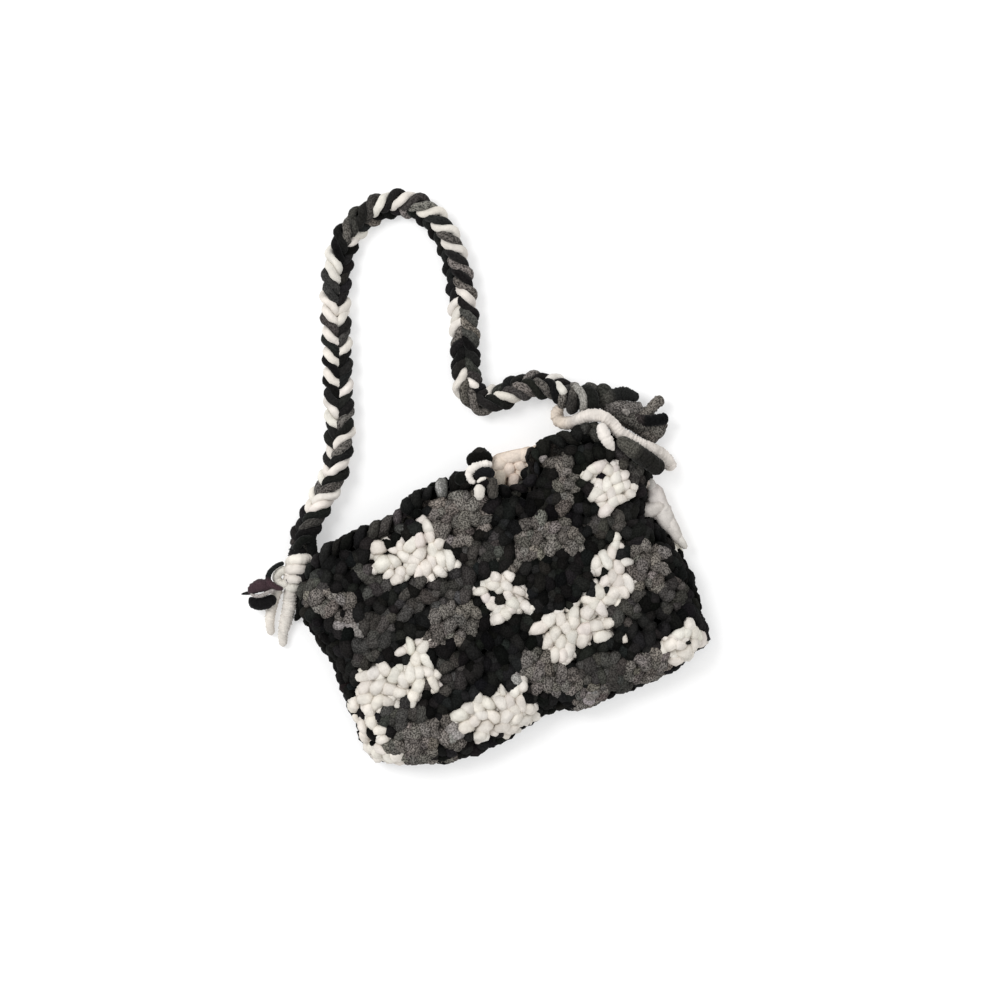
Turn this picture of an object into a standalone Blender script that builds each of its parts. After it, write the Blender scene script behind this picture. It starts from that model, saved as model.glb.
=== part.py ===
"""Crochet shoulder bag of thick velvet yarn. It lies flat on its back, with its plaited strap laid out in an
arch above the mouth and the tied-off yarn ends at both corners.

+X runs along the mouth, +Y from the base to the mouth and +Z up, away from the floor at z = 0."""

import math

import bmesh
import bpy
import numpy as np
from mathutils import Matrix, Vector

MM = 0.001

# The pouch: two layers of crochet, joined along both sides and the base.
WALL = 13 * MM  # one layer of crochet
SEAM_HEIGHT = 14 * MM  # where the two layers meet
CROWN = 35 * MM  # the front's height near the edges, once it has rounded over
SWELL = 5 * MM  # what the middle adds to that
SWELL_WIDTH = 300 * MM  # where the swell has died away, a little past the bag's edges
SWELL_LENGTH = 240 * MM
FRONT_ROUND = 24 * MM  # how far in from its edge the front rounds over
BACK_ROUND = 16 * MM  # the same on the back, which is flat on the floor from there on
SIDE_WALL = 18 * MM  # from the outline in to the hollow
HOLLOW_ROUND = 12 * MM
BASE_SHARE = 0.1  # of the bag's height, in which the front's right edge reaches its tuck
RIM_ROLL = 3 * MM  # how far the mouth's rolled edge stands past the last row
PANEL_COLUMNS = 26  # mesh columns across one layer
OUTER_ROWS = 15
INNER_ROWS = 11
OUTER_CROWDING = 1.5  # the rows are closer together near the base
INNER_CROWDING = 1.3

# The strap and the loose ends.
STRAP_WIDTH = 21 * MM
YARN = 7 * MM  # one strand of the velvet yarn
STRAP_POINTS = 34
TAIL_POINTS = 14

MOUTH_LEFT = -135 * MM  # the columns' nominal ends, from which the outline is read
MOUTH_RIGHT = 135 * MM


def columns(names, *rows):
    """A table in millimetres as one array in metres for each named column."""
    return {name: np.array(values) * MM for name, values in zip(names.split(), zip(*rows))}


# The side edges at heights up the bag. The front layer's right edge is tucked in from the back layer's.
SIDES = columns(
    "y left right tuck",
    (-100, -118, 120, 2),
    (-88, -129, 137, 2),
    (-78, -131, 140, 2),
    (-58, -132, 140, 2),
    (-30, -133, 142, 2),
    (-8, -131, 141, 5),
    (6, -134, 141, 12),
    (19, -138, 140, 15),
    (33, -142, 139, 7),
    (46, -139, 139, 2),
    (60, -133, 139, 2),
    (75, -124, 135, 2),
    (90, -112, 121, 2),
)

# The base and the two mouth edges across the bag. The front edge sags between x = 10 and x = 65.
ENDS = columns(
    "x base front back",
    (-135, -83, 63, 63),
    (-124, -91, 70, 70),
    (-110, -99, 75, 75),
    (-88, -105, 77, 77),
    (-58, -106, 79, 79),
    (-46, -105, 86, 86),
    (-30, -104, 89, 89),
    (-12, -100, 89, 89),
    (2, -96, 90, 90),
    (12, -96, 85, 91),
    (24, -100, 72, 92),
    (40, -103, 68, 91),
    (56, -102, 70, 89),
    (67, -101, 86, 88),
    (80, -102, 91, 89),
    (104, -101, 91, 89),
    (120, -98, 86, 85),
    (135, -88, 74, 74),
)

# Soft humps and hollows of the front: where, how wide and how high.
HUMPS = columns(
    "x y reach rise",
    (92, 58, 42, 3.5),
    (-92, 40, 40, 2.5),
    (-84, -62, 38, 3.0),
    (-20, 52, 34, 1.5),
    (2, -18, 30, -2.5),
    (64, -20, 26, 2.0),
    (84, -74, 34, 2.5),
    (20, -78, 28, -2.0),
    (-40, -4, 30, 1.5),
)

# The strap's middle line, from the left knot over the arch to the right knot: x, y, z in millimetres.
STRAP_ROUTE = (
    (-130.2, 82.2, 15),
    (-117, 95, 12),
    (-98, 110, 10.9),
    (-80, 128, 10.9),
    (-67, 153, 10.9),
    (-57, 183, 10.9),
    (-46, 215, 10.9),
    (-36, 245, 10.9),
    (-25, 269, 10.9),
    (-12, 286, 10.9),
    (5, 296, 10.9),
    (24, 299, 10.9),
    (42, 293, 10.9),
    (54, 277, 10.9),
    (58.5, 253, 10.9),
    (55, 222, 10.9),
    (46, 190, 10.9),
    (37, 163, 10.9),
    (34.5, 147, 10.9),
    (43, 136.5, 10.9),
    (58, 136, 11),
    (74, 137, 12),
    (90, 131, 14),
    (102.8, 120, 16),
)

# Loose ends, each from its knot to its tip: x, y, z in millimetres.
LEFT_NEAR_ROUTE = ((-146, 57, 8), (-149, 50, 5.5), (-153, 39, 4), (-158, 28, 4), (-163, 18, 4))
LEFT_FAR_ROUTE = ((-152.5, 63.5, 5), (-158, 56, 4), (-164, 46.5, 4), (-168, 37, 4), (-170.5, 26, 4))
BOW_THREAD_ROUTE = (
    (-147.5, 76, 21),
    (-150.5, 81, 22),
    (-155.5, 83, 22),
    (-161, 81, 20.5),
    (-163.5, 77.5, 19.5),
)
BOW_ROUTE = (
    (-155.5, 68.5, 13),
    (-161, 70.5, 13),
    (-168, 73, 12.5),
    (-175.5, 71.5, 11),
    (-178, 65.5, 10),
    (-174, 60, 11),
    (-166, 57.5, 12.6),
    (-159, 55.5, 14),
)
WHITE_END_ROUTE = (
    (94, 109.5, 5),
    (92.5, 103.5, 8),
    (97, 99.5, 16),
    (105, 99.5, 27),
    (114, 99, 33),
    (122.5, 96, 31),
    (130, 88, 27),
    (137, 76.5, 24.5),
    (145, 63, 19),
    (153, 50, 9),
    (156, 40, 4),
)
SHORT_END_ROUTE = ((111.5, 91.5, 42.5), (112.5, 84, 43), (114.5, 76, 43), (118, 68, 42))
BLACK_END_ROUTE = (
    (121.5, 87.5, 40),
    (125, 80.5, 40.5),
    (131, 70, 38.5),
    (138.5, 58, 34),
    (145.5, 48.5, 27),
    (150.5, 41, 19),
)

# The tassel's yarn ends, which leave the right knot together.
TASSEL_ENDS = {
    "charcoal": (10, ((128.4, 114, 14), (132, 119, 14), (136.5, 120, 12), (140, 115.5, 9))),
    "brown": (10, ((126.6, 112, 15), (135, 110, 17), (144, 105, 15), (151, 100, 11))),
    "grey": (8.5, ((126.6, 110, 14), (140, 102, 13), (152, 95, 10), (160, 92, 7), (166, 88, 5))),
    "dark": (9.5, ((127.6, 107, 14), (139, 96, 18), (151, 85, 17), (163, 77, 12))),
    "fluffy": (13, ((129.6, 104.2, 12), (136, 95, 10), (144, 82, 8), (149, 72, 7.5), (155, 60, 7.5))),
}

# The closure: a yarn ring on the front's edge, and the bobble that it slips over.
LOOP_CENTRE = (21.5, 88, 39)
LOOP_RADIUS = 7.5 * MM
LOOP_YARN = 4.8 * MM
LOOP_TIP = 30  # degrees, down towards the bobble
LOOP_POINTS = 12
BOBBLE_CENTRE = (26, 97, 22.2)
BOBBLE_HALF_SIZES = (8.5, 8.5, 8.5)

# The two knots: where they are, their half sizes and the heading of their long axis in degrees.
KNOT_LEFT = ((-139.8, 69.6, 14.5), (14.5, 9.5, 12), 52)
KNOT_RIGHT = ((112.8, 111.6, 15.5), (13.5, 11.2, 13), -80)

BLACK = (0.012, 0.012, 0.014)
CHARCOAL = (0.045, 0.044, 0.046)
GREY = (0.16, 0.145, 0.135)
WHITE = (0.82, 0.79, 0.76)
PLUM = (0.035, 0.022, 0.028)


def clear_scene():
    for old in list(bpy.data.objects):
        bpy.data.objects.remove(old, do_unlink=True)


def yarn_material(name, colour):
    material = bpy.data.materials.new(name)
    material.use_nodes = True
    surface = material.node_tree.nodes["Principled BSDF"]
    surface.inputs["Base Color"].default_value = (*colour, 1)
    surface.inputs["Roughness"].default_value = 0.95
    surface.inputs["Metallic"].default_value = 0
    return material


def add_object(name, data, material):
    data.materials.append(material)
    thing = bpy.data.objects.new(name, data)
    bpy.context.scene.collection.objects.link(thing)
    return thing


def mesh_object(name, bm, material):
    bmesh.ops.recalc_face_normals(bm, faces=bm.faces)
    mesh = bpy.data.meshes.new(name)
    bm.to_mesh(mesh)
    bm.free()
    mesh.shade_smooth()
    return add_object(name, mesh, material)


def read(table, key, column, at):
    return float(np.interp(at, table[key], table[column]))


def rounding(distance, reach):
    """0 at an edge, rising along a quarter circle to 1 at reach from it."""
    inward = 1 - min(max(distance / reach, 0), 1)
    return math.sqrt(1 - inward * inward)


def outline(across, up, layer, inset):
    """x, y of a point on a layer, and its distances from the left, right and base edges.
    across and up run from 0 to 1, and inset draws the outline in."""
    nominal = MOUTH_LEFT + (MOUTH_RIGHT - MOUTH_LEFT) * across
    base = read(ENDS, "x", "base", nominal) + inset
    y = base + (read(ENDS, "x", layer, nominal) - base) * up
    left = read(SIDES, "y", "left", y) + inset
    right = read(SIDES, "y", "right", y) - inset
    if layer == "front":
        right -= read(SIDES, "y", "tuck", y) * min(up / BASE_SHARE, 1)
    x = left + (right - left) * across
    return x, y, (x - left, right - x, y - base)


def front_height(x, y, distances):
    """The top of the front layer."""
    middle = math.cos(math.pi * x / SWELL_WIDTH) * math.cos(math.pi * y / SWELL_LENGTH)
    height = CROWN + SWELL * middle
    for hump_x, hump_y, reach, rise in zip(*HUMPS.values()):
        height += rise * math.exp(-((x - hump_x) ** 2 + (y - hump_y) ** 2) / reach**2)
    share = math.prod(rounding(distance, FRONT_ROUND) for distance in distances)
    return SEAM_HEIGHT + (height - SEAM_HEIGHT) * share


def outer_point(across, up, layer):
    x, y, distances = outline(across, up, layer, 0)
    if layer == "front":
        return Vector((x, y, front_height(x, y, distances)))
    share = math.prod(rounding(distance, BACK_ROUND) for distance in distances)
    return Vector((x, y, SEAM_HEIGHT * (1 - share)))


def inner_point(across, up, layer):
    x, y, distances = outline(across, up, layer, SIDE_WALL)
    wall = WALL
    if layer == "front":
        wall = front_height(x, y, [distance + SIDE_WALL for distance in distances]) - WALL
    share = math.prod(rounding(distance, HOLLOW_ROUND) for distance in distances)
    return Vector((x, y, SEAM_HEIGHT + (wall - SEAM_HEIGHT) * share))


def ring(place, up):
    """One closed row: across the front from left to right, then back across the other layer."""
    # The columns are closer together near the two sides.
    steps = [(1 - math.cos(math.pi * k / PANEL_COLUMNS)) / 2 for k in range(PANEL_COLUMNS + 1)]
    front = [place(step, up, "front") for step in steps]
    back = [place(step, up, "back") for step in reversed(steps)]
    return front + back


def pouch_rows():
    """The rows from the base up the outside, over the rim and down the hollow to its base."""
    outer = [ring(outer_point, (k / OUTER_ROWS) ** OUTER_CROWDING) for k in range(OUTER_ROWS + 1)]
    inner = [ring(inner_point, (k / INNER_ROWS) ** INNER_CROWDING) for k in range(INNER_ROWS, -1, -1)]
    roll = [(a + b) / 2 + Vector((0, RIM_ROLL, 0)) for a, b in zip(outer[-1], inner[0])]
    return outer + [roll] + inner


def make_pouch(material):
    rows = pouch_rows()
    around = len(rows[0])
    bm = bmesh.new()
    bmesh.ops.create_grid(bm, x_segments=around - 1, y_segments=len(rows) - 1, size=1)
    bm.verts.ensure_lookup_table()
    for number, point in enumerate(point for row in rows for point in row):
        bm.verts[number].co = point
    # The first and last columns meet at the left seam, and the layers meet along both bases.
    bmesh.ops.remove_doubles(bm, verts=bm.verts, dist=0.01 * MM)
    return mesh_object("bag_pouch", bm, material)


def smooth_route(stops, count):
    """Evenly spaced points along the smooth curve through the stops."""
    stops = np.array(stops) * MM
    padded = np.vstack([2 * stops[0] - stops[1], stops, 2 * stops[-1] - stops[-2]])
    fine = []
    for a, b, c, d in zip(padded, padded[1:], padded[2:], padded[3:]):
        for f in np.linspace(0, 1, 20, endpoint=False):
            bend = (2 * a - 5 * b + 4 * c - d) * f**2 + (3 * b - a - 3 * c + d) * f**3
            fine.append(b + ((c - a) * f + bend) / 2)
    fine = np.array([*fine, stops[-1]])
    steps = np.linalg.norm(np.diff(fine, axis=0), axis=1)
    along = np.concatenate([[0], np.cumsum(steps)])
    wanted = np.linspace(0, along[-1], count)
    return np.column_stack([np.interp(wanted, along, fine[:, axis]) for axis in range(3)])


def cord_curve(name, points, diameter, roundness):
    """A curve that runs through the points and is as thick as the cord."""
    curve = bpy.data.curves.new(name, "CURVE")
    curve.dimensions = "3D"
    curve.bevel_depth = diameter / 2
    curve.bevel_resolution = roundness
    spline = curve.splines.new("POLY")
    spline.points.add(len(points) - 1)
    for target, point in zip(spline.points, points):
        target.co = (*point, 1)
    return curve, spline


def make_tube(name, stops, diameter, count, material, roundness=3, tips=(1, 1)):
    """A round cord along a route. tips shrink its first and last points."""
    curve, spline = cord_curve(name, smooth_route(stops, count), diameter, roundness)
    curve.use_fill_caps = True
    spline.points[0].radius, spline.points[-1].radius = tips
    return add_object(name, curve, material)


def make_lump(name, centre, half_sizes, heading, material, wraps, ridge):
    """A knot or bobble: a ball with its long axis turned to heading, ridged where yarn is wrapped round it."""
    bm = bmesh.new()
    bmesh.ops.create_uvsphere(bm, u_segments=20, v_segments=14, radius=1)
    for vert in bm.verts:
        swell = 1 + ridge * math.cos(wraps * math.pi * vert.co.x) * (1 - vert.co.x**2)
        vert.co = Vector((vert.co.x, vert.co.y * swell, vert.co.z * swell))
    turn = Matrix.Rotation(math.radians(heading), 4, "Z")
    place = Matrix.Translation(Vector(centre) * MM)
    size = Matrix.Diagonal((*(Vector(half_sizes) * MM), 1))
    bmesh.ops.transform(bm, matrix=place @ turn @ size, verts=bm.verts)
    return mesh_object(name, bm, material)


def make_tassel(material):
    """The bunch of yarn ends as one solid: each end joined to the first by a union."""
    ends = []
    for colour, (diameter, stops) in TASSEL_ENDS.items():
        end = make_tube("tassel_" + colour, stops, diameter * MM, 9, material, tips=(1, 0.8))
        solid = bpy.data.meshes.new_from_object(end.evaluated_get(bpy.context.evaluated_depsgraph_get()))
        bpy.data.objects.remove(end, do_unlink=True)
        bm = bmesh.new()
        bm.from_mesh(solid)
        bmesh.ops.remove_doubles(bm, verts=bm.verts, dist=0.01 * MM)
        ends.append(mesh_object("tassel_" + colour, bm, material))
    tassel, *others = ends
    tassel.name = "tassel"
    for other in others:
        join = tassel.modifiers.new(other.name, "BOOLEAN")
        join.operation = "UNION"
        join.object = other
        other.hide_render = True
        other.display_type = "WIRE"
    return tassel


def make_button_loop(material):
    """The yarn ring that slips over the bobble, tipped from the front's edge down to the bobble."""
    start = Vector((LOOP_RADIUS, 0, 0))
    tip = Matrix.Rotation(-math.radians(LOOP_TIP), 3, "X")
    turns = [Matrix.Rotation(math.tau * k / LOOP_POINTS, 3, "Z") for k in range(LOOP_POINTS)]
    points = [Vector(LOOP_CENTRE) * MM + tip @ turn @ start for turn in turns]
    curve, spline = cord_curve("button_loop", points, LOOP_YARN, 3)
    spline.use_cyclic_u = True
    return add_object("button_loop", curve, material)


def build():
    clear_scene()
    black = yarn_material("black_yarn", BLACK)
    charcoal = yarn_material("charcoal_yarn", CHARCOAL)
    grey = yarn_material("grey_yarn", GREY)
    white = yarn_material("white_yarn", WHITE)
    plum = yarn_material("plum_yarn", PLUM)

    make_pouch(black)
    make_tube("strap", STRAP_ROUTE, STRAP_WIDTH, STRAP_POINTS, charcoal)
    make_lump("knot_left", *KNOT_LEFT, white, wraps=4, ridge=0.06)
    make_lump("knot_right", *KNOT_RIGHT, charcoal, wraps=4, ridge=0.07)
    make_tube("end_left_near", LEFT_NEAR_ROUTE, YARN, TAIL_POINTS, white, tips=(1, 0.7))
    make_tube("end_left_far", LEFT_FAR_ROUTE, YARN, TAIL_POINTS, white, tips=(1, 0.7))
    make_tube("bow_thread", BOW_THREAD_ROUTE, 4 * MM, 10, plum, roundness=2)
    make_tube("bow", BOW_ROUTE, 9 * MM, 16, plum, tips=(0.8, 0.8))
    make_tassel(grey)
    make_tube("end_right_white", WHITE_END_ROUTE, YARN, 26, white, tips=(1, 0.7))
    make_tube("end_right_short", SHORT_END_ROUTE, YARN, 8, white, tips=(0.8, 0.7))
    make_tube("end_right_black", BLACK_END_ROUTE, 11 * MM, TAIL_POINTS, black, tips=(0.9, 0.8))
    make_lump("bobble_button", BOBBLE_CENTRE, BOBBLE_HALF_SIZES, 0, black, wraps=3, ridge=0.06)
    make_button_loop(white)


build()
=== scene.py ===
"""Crochet shoulder bag of thick velvet yarn, finished around its packed frame.

The bag lies on its back. Puffy stitches in black, grey and white cover both layers of the pouch, the plaited strap is
laid out in an arch above the mouth, and both corners have a knot with loose yarn ends. Metres, with +X along the
mouth, +Y from the base to the mouth and +Z up from the floor."""

import math

import bmesh
import bpy
import numpy as np
from bpy.props import FloatProperty, FloatVectorProperty, IntProperty, PointerProperty
from bpy.types import Operator, Panel, PropertyGroup
from mathutils import Matrix, Vector


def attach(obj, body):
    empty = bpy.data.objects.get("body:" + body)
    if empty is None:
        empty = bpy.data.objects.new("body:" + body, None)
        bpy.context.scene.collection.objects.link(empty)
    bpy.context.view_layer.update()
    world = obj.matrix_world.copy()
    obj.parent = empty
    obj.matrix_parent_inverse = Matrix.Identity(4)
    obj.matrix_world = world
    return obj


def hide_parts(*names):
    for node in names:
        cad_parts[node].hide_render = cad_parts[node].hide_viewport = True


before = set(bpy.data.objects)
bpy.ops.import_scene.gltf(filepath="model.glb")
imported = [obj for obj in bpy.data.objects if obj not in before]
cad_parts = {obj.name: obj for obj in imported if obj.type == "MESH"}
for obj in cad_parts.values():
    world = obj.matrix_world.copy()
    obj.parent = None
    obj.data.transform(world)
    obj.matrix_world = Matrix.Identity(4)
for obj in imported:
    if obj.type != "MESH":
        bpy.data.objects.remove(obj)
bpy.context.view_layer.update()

bl_info = {
    "name": "Crochet shoulder bag",
    "version": (1, 0, 0),
    "blender": (4, 5, 0),
    "location": "3D View > Sidebar > Crochet bag",
    "description": "Makes the stitches, plait, knots and yarn ends of a crochet bag",
    "category": "Add Mesh",
}

MM = 0.001
ROOT = "root"

# The pouch's shape, as in the frame.
WALL = 13 * MM
SEAM_HEIGHT = 14 * MM
CROWN = 35 * MM
SWELL = 5 * MM
SWELL_WIDTH = 300 * MM
SWELL_LENGTH = 240 * MM
FRONT_ROUND = 24 * MM
BACK_ROUND = 16 * MM
SIDE_WALL = 18 * MM
HOLLOW_ROUND = 12 * MM
BASE_SHARE = 0.1
MOUTH_LEFT = -135 * MM
MOUTH_RIGHT = 135 * MM


def columns(names, *rows):
    """A table in millimetres as one array in metres for each named column."""
    return {name: np.array(values) * MM for name, values in zip(names.split(), zip(*rows))}


SIDES = columns(
    "y left right tuck",
    (-100, -118, 120, 2),
    (-88, -129, 137, 2),
    (-78, -131, 140, 2),
    (-58, -132, 140, 2),
    (-30, -133, 142, 2),
    (-8, -131, 141, 5),
    (6, -134, 141, 12),
    (19, -138, 140, 15),
    (33, -142, 139, 7),
    (46, -139, 139, 2),
    (60, -133, 139, 2),
    (75, -124, 135, 2),
    (90, -112, 121, 2),
)
ENDS = columns(
    "x base front back",
    (-135, -83, 63, 63),
    (-124, -91, 70, 70),
    (-110, -99, 75, 75),
    (-88, -105, 77, 77),
    (-58, -106, 79, 79),
    (-46, -105, 86, 86),
    (-30, -104, 89, 89),
    (-12, -100, 89, 89),
    (2, -96, 90, 90),
    (12, -96, 85, 91),
    (24, -100, 72, 92),
    (40, -103, 68, 91),
    (56, -102, 70, 89),
    (67, -101, 86, 88),
    (80, -102, 91, 89),
    (104, -101, 91, 89),
    (120, -98, 86, 85),
    (135, -88, 74, 74),
)
HUMPS = columns(
    "x y reach rise",
    (92, 58, 42, 3.5),
    (-92, 40, 40, 2.5),
    (-84, -62, 38, 3.0),
    (-20, 52, 34, 1.5),
    (2, -18, 30, -2.5),
    (64, -20, 26, 2.0),
    (84, -74, 34, 2.5),
    (20, -78, 28, -2.0),
    (-40, -4, 30, 1.5),
)

# The white loops of the front layer's light spots, and the dark ones that show between them, one by one: x, y of the
# middle, heading of the narrow end in degrees, length, width.
FRONT_LEAVES = {
    "black": (
        (1, -6, -45, 9, 5), (78, -26.5, 60, 7, 5), (122, -85.5, -30, 8, 3.5), (-103, -47, 0, 3, 2.5),
        (-127.5, -50.5, 95, 10, 4.5), (-122, -67, 0, 6.5, 3.5), (-127.5, -74, -10, 8, 4), (99, 91, 45, 14, 10),
    ),
    "silver": (
        (-12, 88, -100, 12, 6), (-9, -65.5, 110, 13, 8), (-117, 18, -20, 14, 8), (-109, 14.5, -30, 13, 8),
        (-64, -89, -30, 14, 9), (41, -98, 10, 16, 8), (68, 82, 10, 7, 5),
    ),
    "charcoal": ((106, 92, 20, 12, 8), (114, 91, 0, 11, 8)),
    "white": (
        # below the mouth, left
        (-70.5, 62.5, -8, 14, 11), (-55, 58, 75, 11, 6.5), (-61, 57.5, 143, 10, 5.5), (-72, 50, 200, 15, 12),
        (-63, 49.5, 115, 13, 7.5), (-70.5, 41, 200, 11, 7), (-66, 36, 195, 14, 8.5), (-62, 39, -120, 12, 8),
        (-46.5, 56.5, 35, 17, 9.5), (-40, 58, 70, 15, 8.5), (-30.5, 64.5, 95, 14, 8), (-31.5, 57, -100, 13, 8),
        (-44, 47, 30, 16, 10), (-50, 45, 160, 15, 9), (-55, 50, 120, 13, 8), (-52, 40, -145, 15, 9),
        (-48, 35, -130, 14, 8.5), (-42.5, 35.5, -110, 15, 9.5), (-41, 27, -90, 9, 5.5), (-33, 46.5, 80, 15, 8),
        (-27, 49.5, 40, 12, 8), (-36.5, 38.5, -100, 14, 8), (-24, 35.5, -98, 18, 8.5), (-33.5, 30, -60, 13, 8),
        (-30, 37.5, -95, 16, 8.5),
        # below the mouth, right
        (95, 59, -145, 13, 8), (100, 61, 170, 14, 8), (106, 61.5, 10, 14, 9), (111, 56, -60, 12, 8),
        (115.5, 55.5, 30, 10, 7), (95.5, 43, -160, 15, 9.5), (100, 47.5, 70, 14, 8.5), (98.5, 39.5, -10, 12, 8),
        (106, 47, 60, 15, 9), (114, 49.5, 50, 15, 9.5), (120.5, 48.5, 20, 12, 8), (106.5, 39, -110, 14, 9),
        (113.5, 41.5, 20, 15, 9), (120, 41.5, 15, 12, 8), (125, 38, -10, 10, 7), (121, 34, -20, 11, 8),
        (98.5, 29, -155, 15, 9), (105, 32.5, -150, 15, 9), (111.5, 33.5, -20, 14, 8.5),
        # middle
        (3.5, 12, 85, 12, 8.5), (0, 6, 150, 13, 8.5), (-10.5, 5, 168, 12, 7), (13.5, 9, 120, 12, 7.5),
        (9, 1.5, -75, 13, 8.5), (3.5, 1.5, 20, 10, 7), (16.5, -5, -45, 12, 6.5), (-8, -1.5, -85, 11, 7),
        (-6, -8.5, -40, 12, 7), (0, -11.5, -10, 9, 6), (-6, -18.5, -165, 14, 10), (-3.5, -13.5, -130, 12, 8),
        (1.5, -17, -100, 12, 9), (9.5, -12, -60, 14, 9.5), (8, -5.5, -75, 12, 7.5), (6, -15.5, -30, 12, 8),
        (17.5, -18.5, -65, 14, 8), (21.5, -19.5, 60, 8, 5),
        # right of the middle
        (20.5, -35.5, -170, 18, 10), (31, -32.5, 10, 16, 10.5), (23.5, -47.5, -135, 15, 8), (25, -59, -125, 14, 8.5),
        (30.5, -61, -120, 14, 8), (35.5, -60, -120, 16, 9), (32, -52, -120, 15, 9), (30.5, -44.5, -125, 14, 9),
        (40, -43.5, -80, 15, 9), (38, -35, 80, 14, 9), (41.5, -51.5, -110, 14, 9), (48.5, -55.5, -130, 15, 10),
        (53.5, -48.5, 15, 16, 10), (49, -35, 60, 14, 9), (46.5, -40.5, -110, 14, 9), (63, -58.5, -10, 15, 9.5),
        (62, -49.5, -20, 15, 9.5), (71.5, -50.5, 5, 12, 8), (77.5, -51.5, 25, 8, 4.5), (59.5, -37, 35, 15, 10),
        (69.5, -39, -75, 16, 9), (63.5, -29.5, 150, 14, 8), (72.5, -26.5, 80, 14, 9), (66, -33.5, 15, 13, 9),
        (83, -30.5, 35, 15, 10), (78, -35, -20, 14, 8), (89, -32, -70, 14, 9), (95, -28, -80, 17, 9.5),
        (88.5, -24, 60, 15, 9.5), (86, -18.5, 60, 14, 9), (79.5, -20.5, -150, 13, 8), (92, -13.5, 85, 14, 9),
        (99.5, -12.5, -20, 12, 7), (77.5, -5.5, -120, 14, 8.5), (77.5, -10.5, -110, 10, 6.5), (85.5, -6, -85, 18, 9),
        (91.5, -2, 60, 13, 8), (96.5, 2.5, 40, 10, 7), (99.5, 0, -50, 7, 5), (78, -65.5, 75, 8, 4.5),
        # left edge
        (-74, -14.5, 82, 15, 6.5), (-82.5, -16.5, -175, 12, 7), (-65, -19, 40, 14, 8.5), (-72.5, -25, 60, 15, 9),
        (-66.5, -29.5, -75, 18, 8), (-68, -38, -60, 14, 8), (-67.5, -47, -85, 15, 7), (-81, -33.5, 60, 17, 10),
        (-75.5, -36.5, -115, 16, 9), (-79.5, -45, -135, 17, 9), (-85.5, -50.5, -140, 13, 9), (-87.5, -56, -120, 9, 5),
        (-98, -23.5, 95, 14, 9), (-107, -24, 10, 17, 9), (-116, -23.5, 170, 14, 9), (-92.5, -30.5, 50, 16, 9.5),
        (-88, -37, -95, 15, 9), (-107, -34.5, 20, 17, 10), (-99, -40, -35, 15, 10), (-93.5, -44.5, -30, 13, 8.5),
        (-117, -32, 40, 16, 10), (-121, -40, 170, 16, 10), (-112, -45.5, -150, 16, 9.5), (-104.5, -47.5, -30, 13, 8.5),
        (-120.5, -49.5, -100, 15, 9.5), (-122, -59, -95, 14, 9), (-130, -41, -110, 15, 9), (-118, -66, -20, 13, 8),
        (-119.5, -73, 180, 12, 7), (-123.5, -80, -60, 13, 8), (-130, -60, -95, 15, 8),
        # base, left
        (-58, -76, 180, 16, 10.5), (-50, -73.5, 160, 15, 9.5), (-40, -69.5, 65, 12, 7.5), (-42.5, -74.5, 100, 14, 9.5),
        (-34.5, -75.5, -50, 14, 9.5), (-56.5, -86.5, -170, 15, 10.5), (-49.5, -84.5, -160, 13, 9),
        (-42, -81.5, -30, 14, 9), (-43.5, -92, -165, 15, 10), (-49.5, -96.5, 180, 14, 9), (-34.5, -85.5, 120, 15, 9),
        (-25.5, -90.5, -135, 16, 9.5), (-25.5, -78, 110, 16, 9.5), (-19, -79.5, 75, 15, 9), (-12, -73.5, 45, 14, 8),
        (-5.5, -71.5, 70, 12, 7.5), (-21, -70, 80, 10, 5), (-11, -85.5, -90, 16, 8), (-17.5, -87.5, -70, 15, 9),
        (-19, -94, -150, 14, 9), (-31, -97, 180, 16, 9),
        (-26, -100.5, 165, 16, 9.5), (-14, -98, 170, 16, 9.5), (-6.5, -92, -65, 14, 9.5),
        # base, right
        (108.5, -82, -160, 14, 10), (113.5, -79, 160, 12, 8.5), (118.5, -76.5, 20, 14, 9), (128.5, -73, 75, 15, 9.5),
        (129, -81.5, -85, 15, 9.5), (117, -92, -170, 15, 10), (125.5, -89.5, -120, 13, 9),
        (125, -77.5, 20, 13, 8.5), (115, -84.5, -50, 14, 9), (118, -96, 170, 15, 9), (109, -96, 175, 14, 9),
    ),
}
# Where the other yarn changes colour: x, y, half width, half height in millimetres and heading.
FRONT_PATCHES = {
    "white": ((-131, -63, 10, 26, -5), (-121, -90, 10, 9, 0), (124, -94, 14, 9, 20), (-17, -101, 15, 7, 8)),
    "black": ((-81, -101, 10, 5, 0),),
    "grey": (
        (-5, 63, 23, 20, 0),
        (79, 76, 10, 10, 0),
        (78, 60, 9, 12, 0),
        (73, 46, 8, 9, 0),
        (48, 27, 25, 15, 0),
        (24, 17, 9, 8, 0),
        (68, 13, 8, 8, 0),
        (113, -21, 18, 19, -20),
        (-38, -11, 23, 14, 4),
        (-92, -90, 34, 18, -10),
        (-65, -85, 12, 12, 0),
        (11, -66, 18, 15, 0),
        (26, -82, 12, 10, 0),
        (40, -99, 15, 8, 0),
        (88, -93, 19, 12, 0),
        (-120, 38, 18, 11, -20),
        (-113, 17, 11, 6, -20),
    ),
    "charcoal": (
        (-36, 19, 22, 15, -20),
        (-81, 45, 12, 15, 0),
        (-58, 76, 20, 9, 10),
        (-130, 50, 12, 12, 0),
        (3, 32, 16, 11, 0),
        (85, -44, 16, 12, 0),
        (-58, -44, 16, 12, 0),
        (-98, -62, 16, 10, 0),
        (55, -80, 20, 10, 0),
        (96, 20, 13, 9, 0),
        (-62, 14, 13, 10, 0),
        (-90, 10, 15, 11, 0),
        (127, 55, 17, 9, -65),
        (62, -96, 14, 9, 0),
        (125, -48, 14, 10, 30),
        (-105, -5, 16, 10, 10),
    ),
}
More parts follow.
